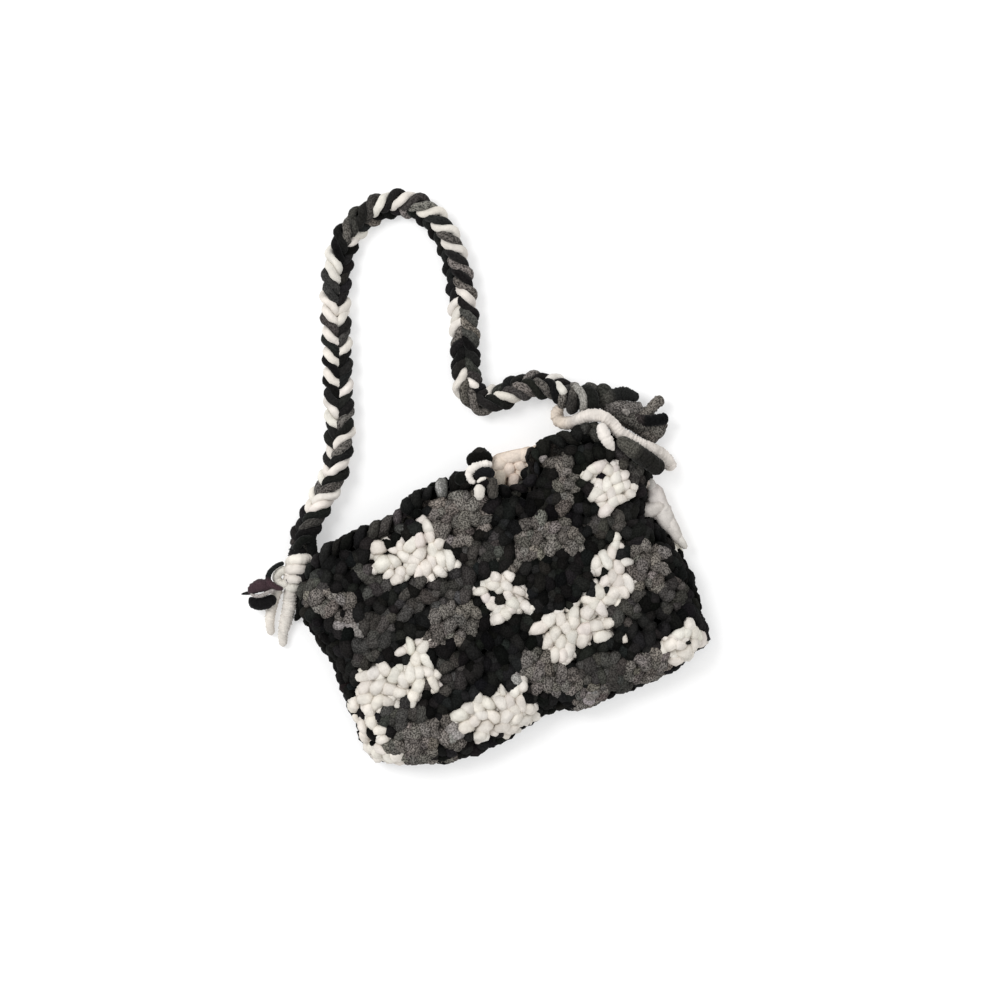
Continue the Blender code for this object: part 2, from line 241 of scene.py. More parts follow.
BACK_PATCHES = {
    "cream": ((45, 86, 22, 18, 0),),
    "white": ((132, 12, 14, 33, 6), (-76, 30, 16, 11, 30), (12, -22, 20, 12, -15), (-104, -58, 12, 16, 0)),
    "grey": ((-104, 68, 12, 12, 0), (-22, 44, 22, 15, 20), (68, -62, 24, 14, 0), (58, 34, 18, 12, -25)),
    "charcoal": ((-42, -66, 24, 14, 10), (96, -14, 14, 18, 0), (-6, 8, 18, 12, 0)),
}

# The strap's middle line, from the left knot over the arch to the right knot: x, y, z in millimetres.
STRAP_ROUTE = (
    (-125, 82, 15.5),
    (-115, 94.5, 12.2),
    (-98, 110.5, 10.9),
    (-80, 128, 10.9),
    (-67, 153, 10.9),
    (-57, 183, 10.9),
    (-46, 215, 10.9),
    (-36, 245, 10.9),
    (-25, 269, 10.9),
    (-12, 286, 10.9),
    (5, 296, 10.9),
    (24, 299, 10.9),
    (42, 293, 10.9),
    (54, 277, 10.9),
    (58.5, 253, 10.9),
    (55, 222, 10.9),
    (46, 190, 10.9),
    (37, 163, 10.9),
    (34.5, 147, 10.9),
    (43, 136.5, 10.9),
    (58, 136, 11),
    (74, 137, 12),
    (90, 131, 14),
    (102.8, 120, 16),
)
LEFT_NEAR_ROUTE = ((-139, 62, 12), (-143, 54, 8), (-147, 46, 5.5), (-153, 37, 4.5), (-159, 28, 4), (-163, 18, 4))
LEFT_FAR_ROUTE = ((-146, 66, 9), (-151, 60, 6.5), (-157, 53, 5), (-162, 46, 4), (-166, 38, 4), (-168, 29, 4))
WHITE_END_ROUTE = (
    (94, 113.5, 6),
    (88.8, 109, 5),
    (89.5, 103, 7),
    (95, 99.5, 14),
    (103, 99, 25),
    (111, 99, 33),
    (118.5, 95.5, 35),
    (123.8, 88, 34),
    (126.5, 80.5, 33),
    (131, 74, 31),
    (137, 67.5, 28.5),
    (144.5, 60.5, 24),
    (151, 53.5, 15),
    (154.5, 46, 7),
    (154.8, 39.5, 4.6),
)


# ---------------------------------------------------------------- the pouch's skin
ACROSS_STEPS = 72
UP_STEPS = 44
ROLL_STEPS = 6
INNER_STEPS = 30
RIM_ROLL = 5 * MM
SKIN_COLUMNS = 160
SKIN_ROWS = 200
SEAT_STEP = 0.01
SKIN_TOP = 1.6  # how far the map goes, in heights of the bag, over the rim and down the inside


def rounding(distance, reach):
    """0 at an edge, rising along a quarter circle to 1 at reach from it."""
    inward = 1 - np.clip(distance / reach, 0, 1)
    return np.sqrt(1 - inward * inward)


def outline(across, up, layer, inset):
    """x, y of points on a layer, and their distances from the left, right and base edges."""
    nominal = MOUTH_LEFT + (MOUTH_RIGHT - MOUTH_LEFT) * across
    base = np.interp(nominal, ENDS["x"], ENDS["base"]) + inset
    y = base + (np.interp(nominal, ENDS["x"], ENDS[layer]) - base) * up
    left = np.interp(y, SIDES["y"], SIDES["left"]) + inset
    right = np.interp(y, SIDES["y"], SIDES["right"]) - inset
    if layer == "front":
        right = right - np.interp(y, SIDES["y"], SIDES["tuck"]) * min(up / BASE_SHARE, 1)
    x = left + (right - left) * across
    return x, y, (x - left, right - x, y - base)


def front_height(x, y, distances):
    """The top of the front layer."""
    height = CROWN + SWELL * np.cos(math.pi * x / SWELL_WIDTH) * np.cos(math.pi * y / SWELL_LENGTH)
    for hump_x, hump_y, reach, rise in zip(*HUMPS.values()):
        height = height + rise * np.exp(-((x - hump_x) ** 2 + (y - hump_y) ** 2) / reach**2)
    share = math.prod(rounding(distance, FRONT_ROUND) for distance in distances)
    return SEAM_HEIGHT + (height - SEAM_HEIGHT) * share


def outer_row(across, up, layer, sink):
    """A row of points on the outside. sink draws the whole row in, under the stitches."""
    x, y, distances = outline(across, up, layer, sink)
    if layer == "front":
        z = front_height(x, y, distances)
        share = (z - SEAM_HEIGHT) / (CROWN - SEAM_HEIGHT)
        return np.column_stack([x, y, z - sink * share])
    share = math.prod(rounding(distance, BACK_ROUND) for distance in distances)
    return np.column_stack([x, y, SEAM_HEIGHT * (1 - share) + sink * share])


def inner_row(across, up, layer, sink):
    """A row of points on the wall of the hollow."""
    inset = SIDE_WALL - sink
    x, y, distances = outline(across, up, layer, inset)
    wall = WALL - sink
    if layer == "front":
        wall = front_height(x, y, [distance + inset for distance in distances]) - WALL + sink
    share = math.prod(rounding(distance, HOLLOW_ROUND) for distance in distances)
    return np.column_stack([x, y, SEAM_HEIGHT + (wall - SEAM_HEIGHT) * share])


def layer_rows(layer, sink, roll):
    """Rows of points from the base up the outside, over the rolled rim and down the hollow to its base."""
    across = (1 - np.cos(np.pi * np.linspace(0, 1, ACROSS_STEPS + 1))) / 2
    outer = [outer_row(across, up, layer, sink) for up in np.linspace(0, 1, UP_STEPS) ** 1.5]
    inner = [inner_row(across, up, layer, sink) for up in np.linspace(1, 0, INNER_STEPS) ** 1.3]
    over = []
    for angle in np.linspace(0, math.pi, ROLL_STEPS + 2)[1:-1]:
        middle, half = (outer[-1] + inner[0]) / 2, (outer[-1] - inner[0]) / 2
        over.append(middle + half * math.cos(angle) + np.array([0, roll * math.sin(angle), 0]))
    return np.array(outer + over + inner)


def lengths_along(points):
    """The distance along a run of points, from 0."""
    return np.concatenate([[0], np.cumsum(np.linalg.norm(np.diff(points, axis=0), axis=1))])


def read_along(at, places, points):
    """The points at some distances along a run."""
    return np.column_stack([np.interp(at, places, points[:, axis]) for axis in range(3)])


def softened(grid, passes):
    """A closed grid with every value drawn towards its neighbours'."""
    for _ in range(passes):
        grid = (np.roll(grid, 1, axis=1) + 2 * grid + np.roll(grid, -1, axis=1)) / 4
        grid[1:-1] = (grid[:-2] + 2 * grid[1:-1] + grid[2:]) / 4
    return grid


def make_skin():
    """An even map of the pouch. s goes round it: 0 at the left edge, across the front, over the right edge at about 1
    and back to the left edge at 2. t is 0 at the base, 1 at the mouth, and goes on over the rim and down the inside.
    front_end and back_start are s at the right edges of the two layers, by t."""
    front, back = (layer_rows(layer, 0, RIM_ROLL) for layer in ("front", "back"))
    steps = np.linspace(0, 2, SKIN_COLUMNS + 1)[:-1]
    rows, loops, edges = [], [], []
    for ahead, behind in zip(front, back[:, ::-1]):
        ring = np.vstack([ahead, behind])
        along = lengths_along(ring)
        rows.append(read_along(steps, 2 * along / along[-1], ring))
        loops.append(along[-1])
        edges.append((2 * along[ACROSS_STEPS] / along[-1], 2 * along[ACROSS_STEPS + 1] / along[-1]))
    rows, edges = np.array(rows), np.array(edges)
    points, heights = np.empty((SKIN_ROWS, SKIN_COLUMNS, 3)), []
    for column in range(SKIN_COLUMNS):
        along = lengths_along(rows[:, column])
        heights.append(along[UP_STEPS - 1])
        places = along / heights[-1]
        points[:, column] = read_along(np.linspace(0, SKIN_TOP, SKIN_ROWS), places, rows[:, column])
        if column == SKIN_COLUMNS // 2:
            levels = places
    around = np.roll(points, -1, axis=1) - np.roll(points, 1, axis=1)
    normals = softened(np.cross(around, np.gradient(points, axis=0)), 3)
    return {
        "points": points,
        "normals": normals / np.linalg.norm(normals, axis=2, keepdims=True),
        "heights": softened(np.array(heights)[None], 4)[0],
        "levels": levels,
        "loops": np.array(loops),
        "edges": edges,
    }


SKIN = make_skin()


def on_skin(s, t):
    """Points and outward normals at s, t. Below t = 0 is the other layer."""
    s = np.where(t < 0, 2 - s, s) % 2
    t = np.abs(t)
    column = s / 2 * SKIN_COLUMNS
    row = np.clip(t / SKIN_TOP, 0, 0.9999) * (SKIN_ROWS - 1)
    left, low = np.floor(column).astype(int), np.floor(row).astype(int)
    f, g = (column - left)[..., None], (row - low)[..., None]
    left = left % SKIN_COLUMNS
    right = (left + 1) % SKIN_COLUMNS
    found = []
    for grid in (SKIN["points"], SKIN["normals"]):
        lower = grid[low, left] * (1 - f) + grid[low, right] * f
        upper = grid[low + 1, left] * (1 - f) + grid[low + 1, right] * f
        found.append(lower * (1 - g) + upper * g)
    return found[0], found[1] / np.linalg.norm(found[1], axis=-1, keepdims=True)


def skin_width(t):
    """Metres for each unit of s at t."""
    return np.interp(t, SKIN["levels"], SKIN["loops"]) / 2


def skin_height(s):
    """Metres for each unit of t at s."""
    return np.interp(s % 2, np.linspace(0, 2, SKIN_COLUMNS + 1), [*SKIN["heights"], SKIN["heights"][0]])


def edge_at(t, layer):
    """s at the right edge of the front or the back."""
    return np.interp(t, SKIN["levels"], SKIN["edges"][:, 0 if layer == "front" else 1])


def seat(share, t, layer):
    """s of a place on a layer, by its share of the width from the left."""
    if layer == "front":
        return share * edge_at(t, layer)
    return 2 - share * (2 - edge_at(t, layer))


def skin_seats(s, t):
    """The middle, the direction round the bag and the outward normal at each s, t."""
    middle, normal = on_skin(s, t)
    across = (on_skin(s + SEAT_STEP, t)[0] - on_skin(s - SEAT_STEP, t)[0]) * (1, 0, 1)
    across = across - normal * np.sum(across * normal, axis=-1, keepdims=True)
    return middle, across / np.linalg.norm(across, axis=-1, keepdims=True), normal


def front_top(x, y):
    """The top of the front layer at x, y in metres."""
    right = np.interp(y, SIDES["y"], SIDES["right"]) - np.interp(y, SIDES["y"], SIDES["tuck"])
    left, base = np.interp(y, SIDES["y"], SIDES["left"]), np.interp(x, ENDS["x"], ENDS["base"])
    return np.stack([x, y, front_height(x, y, (x - left, right - x, y - base))], axis=-1)


def front_seats(x, y):
    """The middle, the direction across the bag and the outward normal at each x, y on top of the front layer."""
    across = front_top(x + MM, y) - front_top(x - MM, y)
    up = front_top(x, y + MM) - front_top(x, y - MM)
    normal = np.cross(across, up)
    return (
        front_top(x, y),
        across / np.linalg.norm(across, axis=-1, keepdims=True),
        normal / np.linalg.norm(normal, axis=-1, keepdims=True),
    )


# ---------------------------------------------------------------- yarn colours
HEATHER = {"black": 0.4, "charcoal": 0.65, "grey": 1.0, "silver": 0.55, "white": 0.0, "pearl": 0.05, "cream": 0.05, "plum": 0.3}
YARN_TINT = {"black": 0.045, "charcoal": 0.03, "grey": 0.02, "silver": 0.02, "white": 0.008, "pearl": 0.006, "cream": 0.008, "plum": 0.05}
YARN_SPREAD = {"black": 0.6}
LETTERS = {"k": "black", "c": "charcoal", "g": "grey", "w": "white"}


class YarnColours(PropertyGroup):
    """The colours of the yarn's runs"""

    black: FloatVectorProperty(
        name="Black", description="The darkest runs", subtype="COLOR", default=(0.0105, 0.0103, 0.0099), min=0, max=1
    )
    charcoal: FloatVectorProperty(
        name="Charcoal", description="Dark grey runs", subtype="COLOR", default=(0.046, 0.0435, 0.040), min=0, max=1
    )
    grey: FloatVectorProperty(
        name="Grey", description="Heather grey runs", subtype="COLOR", default=(0.104, 0.095, 0.086), min=0, max=1
    )
    silver: FloatVectorProperty(
        name="Silver", description="Pale grey runs", subtype="COLOR", default=(0.21, 0.198, 0.188), min=0, max=1
    )
    white: FloatVectorProperty(
        name="White", description="White runs", subtype="COLOR", default=(0.665, 0.628, 0.577), min=0, max=1
    )
    # Painted shade: the side panel's white yarn, drawn darker for the shade it lies in.
    pearl: FloatVectorProperty(
        name="Shaded_white", description="The smooth run at the right side", subtype="COLOR", default=(0.56, 0.53, 0.50),
        min=0, max=1
    )
    # Painted light: the cream is set lighter than its yarn's own colour, to make up for the shade in the mouth where
    # its run lies.
    cream: FloatVectorProperty(
        name="Cream", description="The warm run inside the back", subtype="COLOR", default=(0.74, 0.64, 0.55),
        min=0, max=1
    )
    plum: FloatVectorProperty(
        name="Plum", description="The bow's cord", subtype="COLOR", default=(0.042, 0.027, 0.029), min=0, max=1
    )


def yarn_shade(colours, yarn, draw):
    """A run's colour and heather, a little lighter, darker, warmer or cooler than the yarn's own."""
    colour = np.array(getattr(colours, yarn))
    pale = yarn in ("white", "pearl", "cream")
    colour = colour * (1 + (0.065 if pale else YARN_SPREAD.get(yarn, 0.36)) * draw.uniform(-1, 1))
    colour = colour * (1 + YARN_TINT[yarn] * draw.normal(0, 1, 3))
    return (*np.clip(colour, 0, 1), HEATHER[yarn])


def in_any(x, y, places):
    """Whether x, y is in one of some ellipses: x, y, half width, half height in millimetres and heading."""
    centre_x, centre_y, wide, tall, heading = places
    turn = np.radians(heading)
    dx, dy = x / MM - centre_x, y / MM - centre_y
    along, aside = dx * np.cos(turn) + dy * np.sin(turn), dy * np.cos(turn) - dx * np.sin(turn)
    return bool(np.any((along / wide) ** 2 + (aside / tall) ** 2 < 1))


LEAF_CORE = 0.5  # half of a leaf's length and width
VIEW_CENTRE = np.array([27, 64]) * MM
DRAWN_IN = 0.983  # the front's colours are laid out as they show from above, so they lie a little further in


def yarn_places(patches, leaves):
    """For each yarn, in the order in which they count, its ellipses as one array."""
    cores = {
        yarn: [(x, y, length * LEAF_CORE, width * LEAF_CORE, heading) for x, y, heading, length, width in rows]
        for yarn, rows in leaves.items()
    }
    return [(yarn, np.array(rows, float).T) for yarn, rows in [*cores.items(), *patches.items()]]


FRONT_YARNS = yarn_places(FRONT_PATCHES, FRONT_LEAVES)
LEAF_REACH = dict(FRONT_YARNS[: len(FRONT_LEAVES)])["white"] * np.array([1, 1, 1.12, 1.12, 1])[:, None]
BACK_YARNS = yarn_places(BACK_PATCHES, {})


def as_seen(x, y):
    """Where x, y on the front shows from above."""
    return VIEW_CENTRE[0] + (x - VIEW_CENTRE[0]) / DRAWN_IN, VIEW_CENTRE[1] + (y - VIEW_CENTRE[1]) / DRAWN_IN


def yarn_at(yarns, x, y):
    """The yarn that a stitch at x, y is made of."""
    x, y = as_seen(x, y) if yarns is FRONT_YARNS else (x, y)
    for yarn, places in yarns:
        if in_any(x, y, places):
            return yarn
    return "black"


# ---------------------------------------------------------------- meshes of yarn
LOBE_SIDES = 8
LOBE_RINGS = 7
BLUNTNESS = 0.66  # 1 is an egg, and less is blunter


def lobe_mesh():
    """One puffy loop of yarn, from -1 to 1 along X, with blunt ends."""
    bm = bmesh.new()
    bmesh.ops.create_uvsphere(bm, u_segments=LOBE_SIDES, v_segments=LOBE_RINGS, radius=1)
    bmesh.ops.rotate(bm, cent=(0, 0, 0), matrix=Matrix.Rotation(math.radians(90), 3, "Y"), verts=bm.verts)
    for vert in bm.verts:
        radius = math.hypot(vert.co.y, vert.co.z)
        if radius > 0.01:
            swell = radius ** (BLUNTNESS - 1)
            vert.co.y *= swell
            vert.co.z *= swell
    mesh = bpy.data.meshes.new("lobe")
    bm.to_mesh(mesh)
    bm.free()
    return mesh


def vertex_array(mesh):
    found = np.empty(len(mesh.vertices) * 3)
    mesh.vertices.foreach_get("co", found)
    return found.reshape(-1, 3)


def store(mesh, name, kind, values):
    """A value for each vertex, which the yarn's material reads."""
    key = {"FLOAT": "value", "FLOAT_VECTOR": "vector", "FLOAT_COLOR": "color"}[kind]
    layer = mesh.attributes.new(name, kind, "POINT")
    layer.data.foreach_set(key, np.ascontiguousarray(values, np.float32).ravel())


def finish_mesh(mesh, points, place, shade, tuck):
    """Moves the vertices to their places and stores what the material needs: the place along and around the yarn, its
    colour with heather as the fourth number, and how far the spot is tucked under its neighbours, which the material
    turns into painted shade."""
    points = points.reshape(-1, 3)
    points[:, 2] = np.maximum(points[:, 2], 0.15 * MM)
    mesh.vertices.foreach_set("co", points.astype(np.float32).ravel())
    store(mesh, "place", "FLOAT_VECTOR", place)
    store(mesh, "shade", "FLOAT_COLOR", shade)
    store(mesh, "tuck", "FLOAT", tuck)
    mesh.shade_smooth()
    mesh.update()


def add_piece(name, mesh, material, nodes=()):
    """A finished piece at the origin that rides on the bag and stands for these nodes of the frame."""
    mesh.materials.append(material)
    piece = bpy.data.objects.new(name, mesh)
    bpy.context.scene.collection.objects.link(piece)
    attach(piece, ROOT)
    if nodes:
        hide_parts(*nodes)
    return piece


def lobes_piece(name, rows, draw, material, seats=None, taper=(-0.3, 0.3), droop=0.44, depth=0.95):
    """Many loops of yarn as one mesh. Each row is one loop: its two places for seats, heading in degrees, length,
    width, lift of its middle line above the skin, bend, and its shade. seats gives the seats on which the loops lie
    without being bent. Where there is none, they are bent along the skin at s, t. taper is how much narrower the far
    end is, at least and at most, and droop how far the ends sink and depth how thick a loop is, in widths."""
    template = lobe_mesh()
    body = vertex_array(template)
    bm = bmesh.new()
    for _ in rows:
        bm.from_mesh(template)
    mesh = bpy.data.meshes.new(name)
    bm.to_mesh(mesh)
    bm.free()
    bpy.data.meshes.remove(template)
    s, t, heading, length, width, lift, bend = np.array([row[:7] for row in rows]).T[..., None]
    heading = np.radians(heading)
    x, y, z = body.T
    count = (len(rows), len(body))
    girth = (1 - draw.uniform(*taper, (len(rows), 1)) * x) * (1 + draw.normal(0, 0.055, count))
    along = x * length / 2
    aside = y * width / 2 * girth + bend * length * (x * x - 0.4)
    rise = lift + z * width / 2 * girth * depth - droop * width * np.abs(x) ** 2.3
    du = along * np.cos(heading) - aside * np.sin(heading)
    dv = along * np.sin(heading) + aside * np.cos(heading)
    if seats:
        point, across, normal = seats(s, t)
        point = point + across * du[..., None] + np.cross(normal, across) * dv[..., None]
    else:
        point, normal = on_skin(s + du / skin_width(t), t + dv / skin_height(s))
    points = point + normal * rise[..., None]
    place = np.stack([along, y * width / 2, z * width / 2], axis=-1) + draw.uniform(0, 1, (len(rows), 1, 3))
    shade = np.repeat(np.array([row[7] for row in rows])[:, None], len(body), axis=1)
    # How far each spot lies tucked: low on the loop's sides and at its ends. The material darkens these spots as
    # painted shade.
    tuck = np.clip(np.clip((0.8 - z) / 1.1, 0, 1) + 0.5 * np.abs(x) ** 3, 0, 1)
    finish_mesh(mesh, points, place, shade, np.broadcast_to(tuck, count))
    return add_piece(name, mesh, material)


def smooth_route(stops, spacing):
    """Evenly spaced points in metres along the smooth curve through stops in millimetres."""
    stops = np.array(stops, float) * MM
    padded = np.vstack([2 * stops[0] - stops[1], stops, 2 * stops[-1] - stops[-2]])
    fine = []
    for a, b, c, d in zip(padded, padded[1:], padded[2:], padded[3:]):
        for f in np.linspace(0, 1, 20, endpoint=False):
            bend = (2 * a - 5 * b + 4 * c - d) * f**2 + (3 * b - a - 3 * c + d) * f**3
            fine.append(b + ((c - a) * f + bend) / 2)
    fine = np.array([*fine, stops[-1]])
    along = lengths_along(fine)
    count = max(int(along[-1] / spacing) + 1, 6)
    return read_along(np.linspace(0, along[-1], count), along, fine)


def carried_frames(points):
    """Directions across a route that turn with it and don't spin round it."""
    tangents = np.gradient(points, axis=0)
    tangents /= np.linalg.norm(tangents, axis=1, keepdims=True)
    side = np.cross(tangents[0], (0, 0, 1))
    if np.linalg.norm(side) < 0.1:
        side = np.array([1.0, 0, 0])
    sides = []
    for tangent in tangents:
        side = side - tangent * (side @ tangent)
        side = side / np.linalg.norm(side)
        sides.append(side)
    return np.array(sides), np.cross(sides, tangents)


def tube_data(points, radius, draw, sides=12, tufts=0.0, pitch=2.4 * MM, tips=(1, 1), girth=(1, 1)):
    """A closed tube of yarn along points: its mesh, vertex places, coordinates along and around the yarn, and the
    number of the point that each vertex belongs to. tips says how round the two ends are, from 0, cut square, to 1,
    and girth how thick the yarn is along its length, as shares of radius."""
    bm = bmesh.new()
    bmesh.ops.create_uvsphere(bm, u_segments=sides, v_segments=len(points) - 1, radius=1)
    mesh = bpy.data.meshes.new("tube")
    bm.to_mesh(mesh)
    bm.free()
    ball = vertex_array(mesh)
    ring = np.rint(np.arccos(np.clip(ball[:, 2], -1, 1)) * (len(points) - 1) / math.pi).astype(int)
    angle = np.arctan2(ball[:, 1], ball[:, 0])
    along = lengths_along(points)
    across, up = carried_frames(points)
    radii = radius * np.interp(along / along[-1], np.linspace(0, 1, len(girth)), girth)
    phases = draw.uniform(0, math.tau, 2)
    waves = 0.6 * np.sin(math.tau * along / pitch + phases[0]) + 0.4 * np.sin(math.tau * along / pitch / 1.7 + phases[1])
    radii = radii * (1 + tufts * (waves + draw.normal(0, 0.5, len(points))))
    for distance, tip in ((along, tips[0]), (along[-1] - along, tips[1])):
        if tip:
            radii = radii * rounding(distance, radius * tip)
    radii[0] = radii[-1] = 0
    around = radii[ring] * (1 + draw.normal(0, 0.02 + tufts * 0.45, len(ball)))
    offset = across[ring] * (around * np.cos(angle))[:, None] + up[ring] * (around * np.sin(angle))[:, None]
    place = np.column_stack([along[ring], around * np.cos(angle), around * np.sin(angle)]) + draw.uniform(0, 1, 3)
    return mesh, points[ring] + offset, place, ring


def run_shades(colours, runs, share, draw):
    """The colour at each share of a yarn's length. runs gives each run's yarn and the share at which it ends."""
    stops = [0, *[end for _, end in runs]]
    shades = [yarn_shade(colours, yarn, draw) for yarn, _ in runs]
    places, values = [], []
    for shade, start, end in zip(shades, stops, stops[1:]):
        margin = 0.12 * (end - start)
        places += [start + margin, end - margin]
        values += [shade, shade]
    return np.column_stack([np.interp(share, places, np.array(values)[:, k]) for k in range(4)])


def yarn_tube(stops, diameter, runs, draw, colours, spacing=0.7 * MM, **shape):
    """One length of yarn through stops in millimetres: its points, and what tubes_piece needs. runs is a yarn's name
    or the yarns along it."""
    points = smooth_route(stops, spacing)
    mesh, places, place, ring = tube_data(points, diameter * MM / 2, draw, **shape)
    share = np.linspace(0, 1, len(points))[ring]
    runs = ((runs, 1.0),) if isinstance(runs, str) else runs
    return points, (mesh, places, place, run_shades(colours, runs, share, draw), np.zeros(len(share)))


def tubes_piece(name, parts, material, nodes=()):
    """Several lengths of yarn as one piece."""
    bm = bmesh.new()
    for mesh, *_ in parts:
        bm.from_mesh(mesh)
        bpy.data.meshes.remove(mesh)
    joined = bpy.data.meshes.new(name)
    bm.to_mesh(joined)
    bm.free()
    finish_mesh(joined, *[np.concatenate(arrays) for arrays in zip(*[part[1:] for part in parts])])
    return add_piece(name, joined, material, nodes)


# ---------------------------------------------------------------- materials
def add_node(tree, kind, inputs=(), **settings):
    """A shader node with its settings, its inputs as values or as links from other sockets."""
    node = tree.nodes.new(kind)
    for key, value in settings.items():
        setattr(node, key, value)
    for key, value in dict(inputs).items():
        socket = node.inputs[key]
        if isinstance(value, bpy.types.NodeSocket):
            tree.links.new(value, socket)
        else:
            socket.default_value = value
    return node


def scaled(tree, colour, factor):
    """A colour times a number that changes over the surface."""
    node = add_node(tree, "ShaderNodeVectorMath", {0: colour}, operation="SCALE")
    tree.links.new(factor, node.inputs["Scale"])
    return node.outputs[0]


def ranged(tree, value, low, high, to_low, to_high):
    inputs = {"Value": value, "From Min": low, "From Max": high, "To Min": to_low, "To Max": to_high}
    return add_node(tree, "ShaderNodeMapRange", inputs, clamp=True).outputs[0]


def velvet_pile_group():
    """The short pile of velvet yarn: specks of lighter and darker fibre and tufts across the yarn, and painted shade
    that darkens and warms the colour where a spot lies tucked in a fold.
    """
    tree = bpy.data.node_groups.get("velvet_pile_and_fold_shade")
    if tree:
        return tree
    tree = bpy.data.node_groups.new("velvet_pile_and_fold_shade", "ShaderNodeTree")
    for name, kind in (
        ("Place", "NodeSocketVector"),
        ("Shade", "NodeSocketColor"),
        ("Heather", "NodeSocketFloat"),
        ("Tuck", "NodeSocketFloat"),
        ("Pile Scale", "NodeSocketFloat"),
    ):
        tree.interface.new_socket(name, in_out="INPUT", socket_type=kind)
    for name, kind in (
        ("Colour", "NodeSocketColor"),
        ("Roughness", "NodeSocketFloat"),
        ("Height", "NodeSocketFloat"),
    ):
        tree.interface.new_socket(name, in_out="OUTPUT", socket_type=kind)
    given = tree.nodes.new("NodeGroupInput").outputs
    result = tree.nodes.new("NodeGroupOutput").inputs

    specks = add_node(
        tree, "ShaderNodeTexNoise",
        {"Vector": given["Place"], "Scale": given["Pile Scale"], "Detail": 1.0, "Roughness": 0.6},
    ).outputs["Fac"]
    patches = add_node(
        tree, "ShaderNodeTexNoise", {"Vector": given["Place"], "Scale": 160.0, "Detail": 2.0}
    ).outputs["Fac"]
    stretched = add_node(
        tree, "ShaderNodeMapping", {"Vector": given["Place"], "Scale": (1.0, 0.35, 0.35)}
    ).outputs[0]
    tufts = add_node(
        tree, "ShaderNodeTexNoise", {"Vector": stretched, "Scale": 620.0, "Detail": 2.0, "Roughness": 0.6}
    ).outputs["Fac"]

    # Heather has nearly black and nearly white fibres side by side. Plain yarn only a slight mottle.
    plain = ranged(tree, patches, 0.3, 0.7, 0.85, 1.12)
    fleck = ranged(tree, specks, 0.39, 0.64, 0.34, 2.0)
    strength = add_node(
        tree, "ShaderNodeMix", {"Factor": given["Heather"], "A": plain, "B": fleck}, data_type="FLOAT"
    ).outputs["Result"]
    # Painted shade: the more a spot is tucked under its neighbours, the higher the power the colour is raised to, so
    # folds come out darker and warmer, as in their shade.
    fold_shade_power = ranged(tree, given["Tuck"], 0.0, 1.0, 1.0, 1.45)
    fold_shaded_colour = add_node(
        tree, "ShaderNodeGamma", {"Color": scaled(tree, given["Shade"], strength), "Gamma": fold_shade_power}
    ).outputs[0]
    tree.links.new(fold_shaded_colour, result["Colour"])
    tree.links.new(ranged(tree, tufts, 0.3, 0.7, 0.96, 0.8), result["Roughness"])
    height = add_node(tree, "ShaderNodeMath", {0: tufts, 1: specks}, operation="ADD").outputs[0]
    tree.links.new(height, result["Height"])
    return tree


def yarn_material(name, pile_scale, sheen, bump):
    """Velvet yarn whose colour, heather and painted fold shade come from the piece's own attributes."""
    material = bpy.data.materials.new(name)
    material.use_nodes = True
    tree = material.node_tree
    surface = tree.nodes["Principled BSDF"]
    place = add_node(tree, "ShaderNodeAttribute", attribute_name="place").outputs["Vector"]
    shade = add_node(tree, "ShaderNodeAttribute", attribute_name="shade").outputs
    tuck = add_node(tree, "ShaderNodeAttribute", attribute_name="tuck").outputs["Fac"]
    pile = tree.nodes.new("ShaderNodeGroup")
    pile.node_tree = velvet_pile_group()
    tree.links.new(place, pile.inputs["Place"])
    tree.links.new(shade["Color"], pile.inputs["Shade"])
    tree.links.new(shade["Alpha"], pile.inputs["Heather"])
    tree.links.new(tuck, pile.inputs["Tuck"])
    pile.inputs["Pile Scale"].default_value = pile_scale
    tree.links.new(pile.outputs["Colour"], surface.inputs["Base Color"])
    tree.links.new(pile.outputs["Roughness"], surface.inputs["Roughness"])
    relief = add_node(
        tree, "ShaderNodeBump", {"Height": pile.outputs["Height"], "Distance": bump, "Strength": 0.7}
    ).outputs[0]
    tree.links.new(relief, surface.inputs["Normal"])
    surface.inputs["Sheen Weight"].default_value = sheen
    surface.inputs["Sheen Roughness"].default_value = 0.45
    surface.inputs["Specular IOR Level"].default_value = 0.0
    return material


# ---------------------------------------------------------------- properties
class StitchSizes(PropertyGroup):
    """How the crochet is laid out"""

    columns: IntProperty(name="Stitches", description="Stitches across one layer", default=21, min=4, max=60)
    rows: IntProperty(name="Rows", description="Rows from the base to the mouth", default=16, min=4, max=60)
    loop_length: FloatProperty(
        name="Loop length", description="Mean length of a loop", default=15.5 * MM, unit="LENGTH", min=0.002
    )
    loop_width: FloatProperty(
        name="Loop width", description="Mean width of a loop", default=9.0 * MM, unit="LENGTH", min=0.001
    )


class StrapSizes(PropertyGroup):
    """How the strap is plaited"""

    repeat: FloatProperty(
        name="Repeat", description="Length in which a strand comes back to its side", default=46 * MM,
        unit="LENGTH", min=0.005
    )
    yarn: FloatProperty(
        name="Yarn", description="Width of one pressed yarn in the plait", default=6.4 * MM, unit="LENGTH", min=0.001
    )
    swing: FloatProperty(
        name="Swing", description="How far a strand goes to each side", default=6.7 * MM, unit="LENGTH", min=0.001
    )
    depth: FloatProperty(
        name="Depth", description="How far a strand rises and dips", default=4.7 * MM, unit="LENGTH", min=0.001
    )
    width: FloatProperty(
        name="Width", description="Width of the whole plait", default=21 * MM, unit="LENGTH", min=0.005
    )


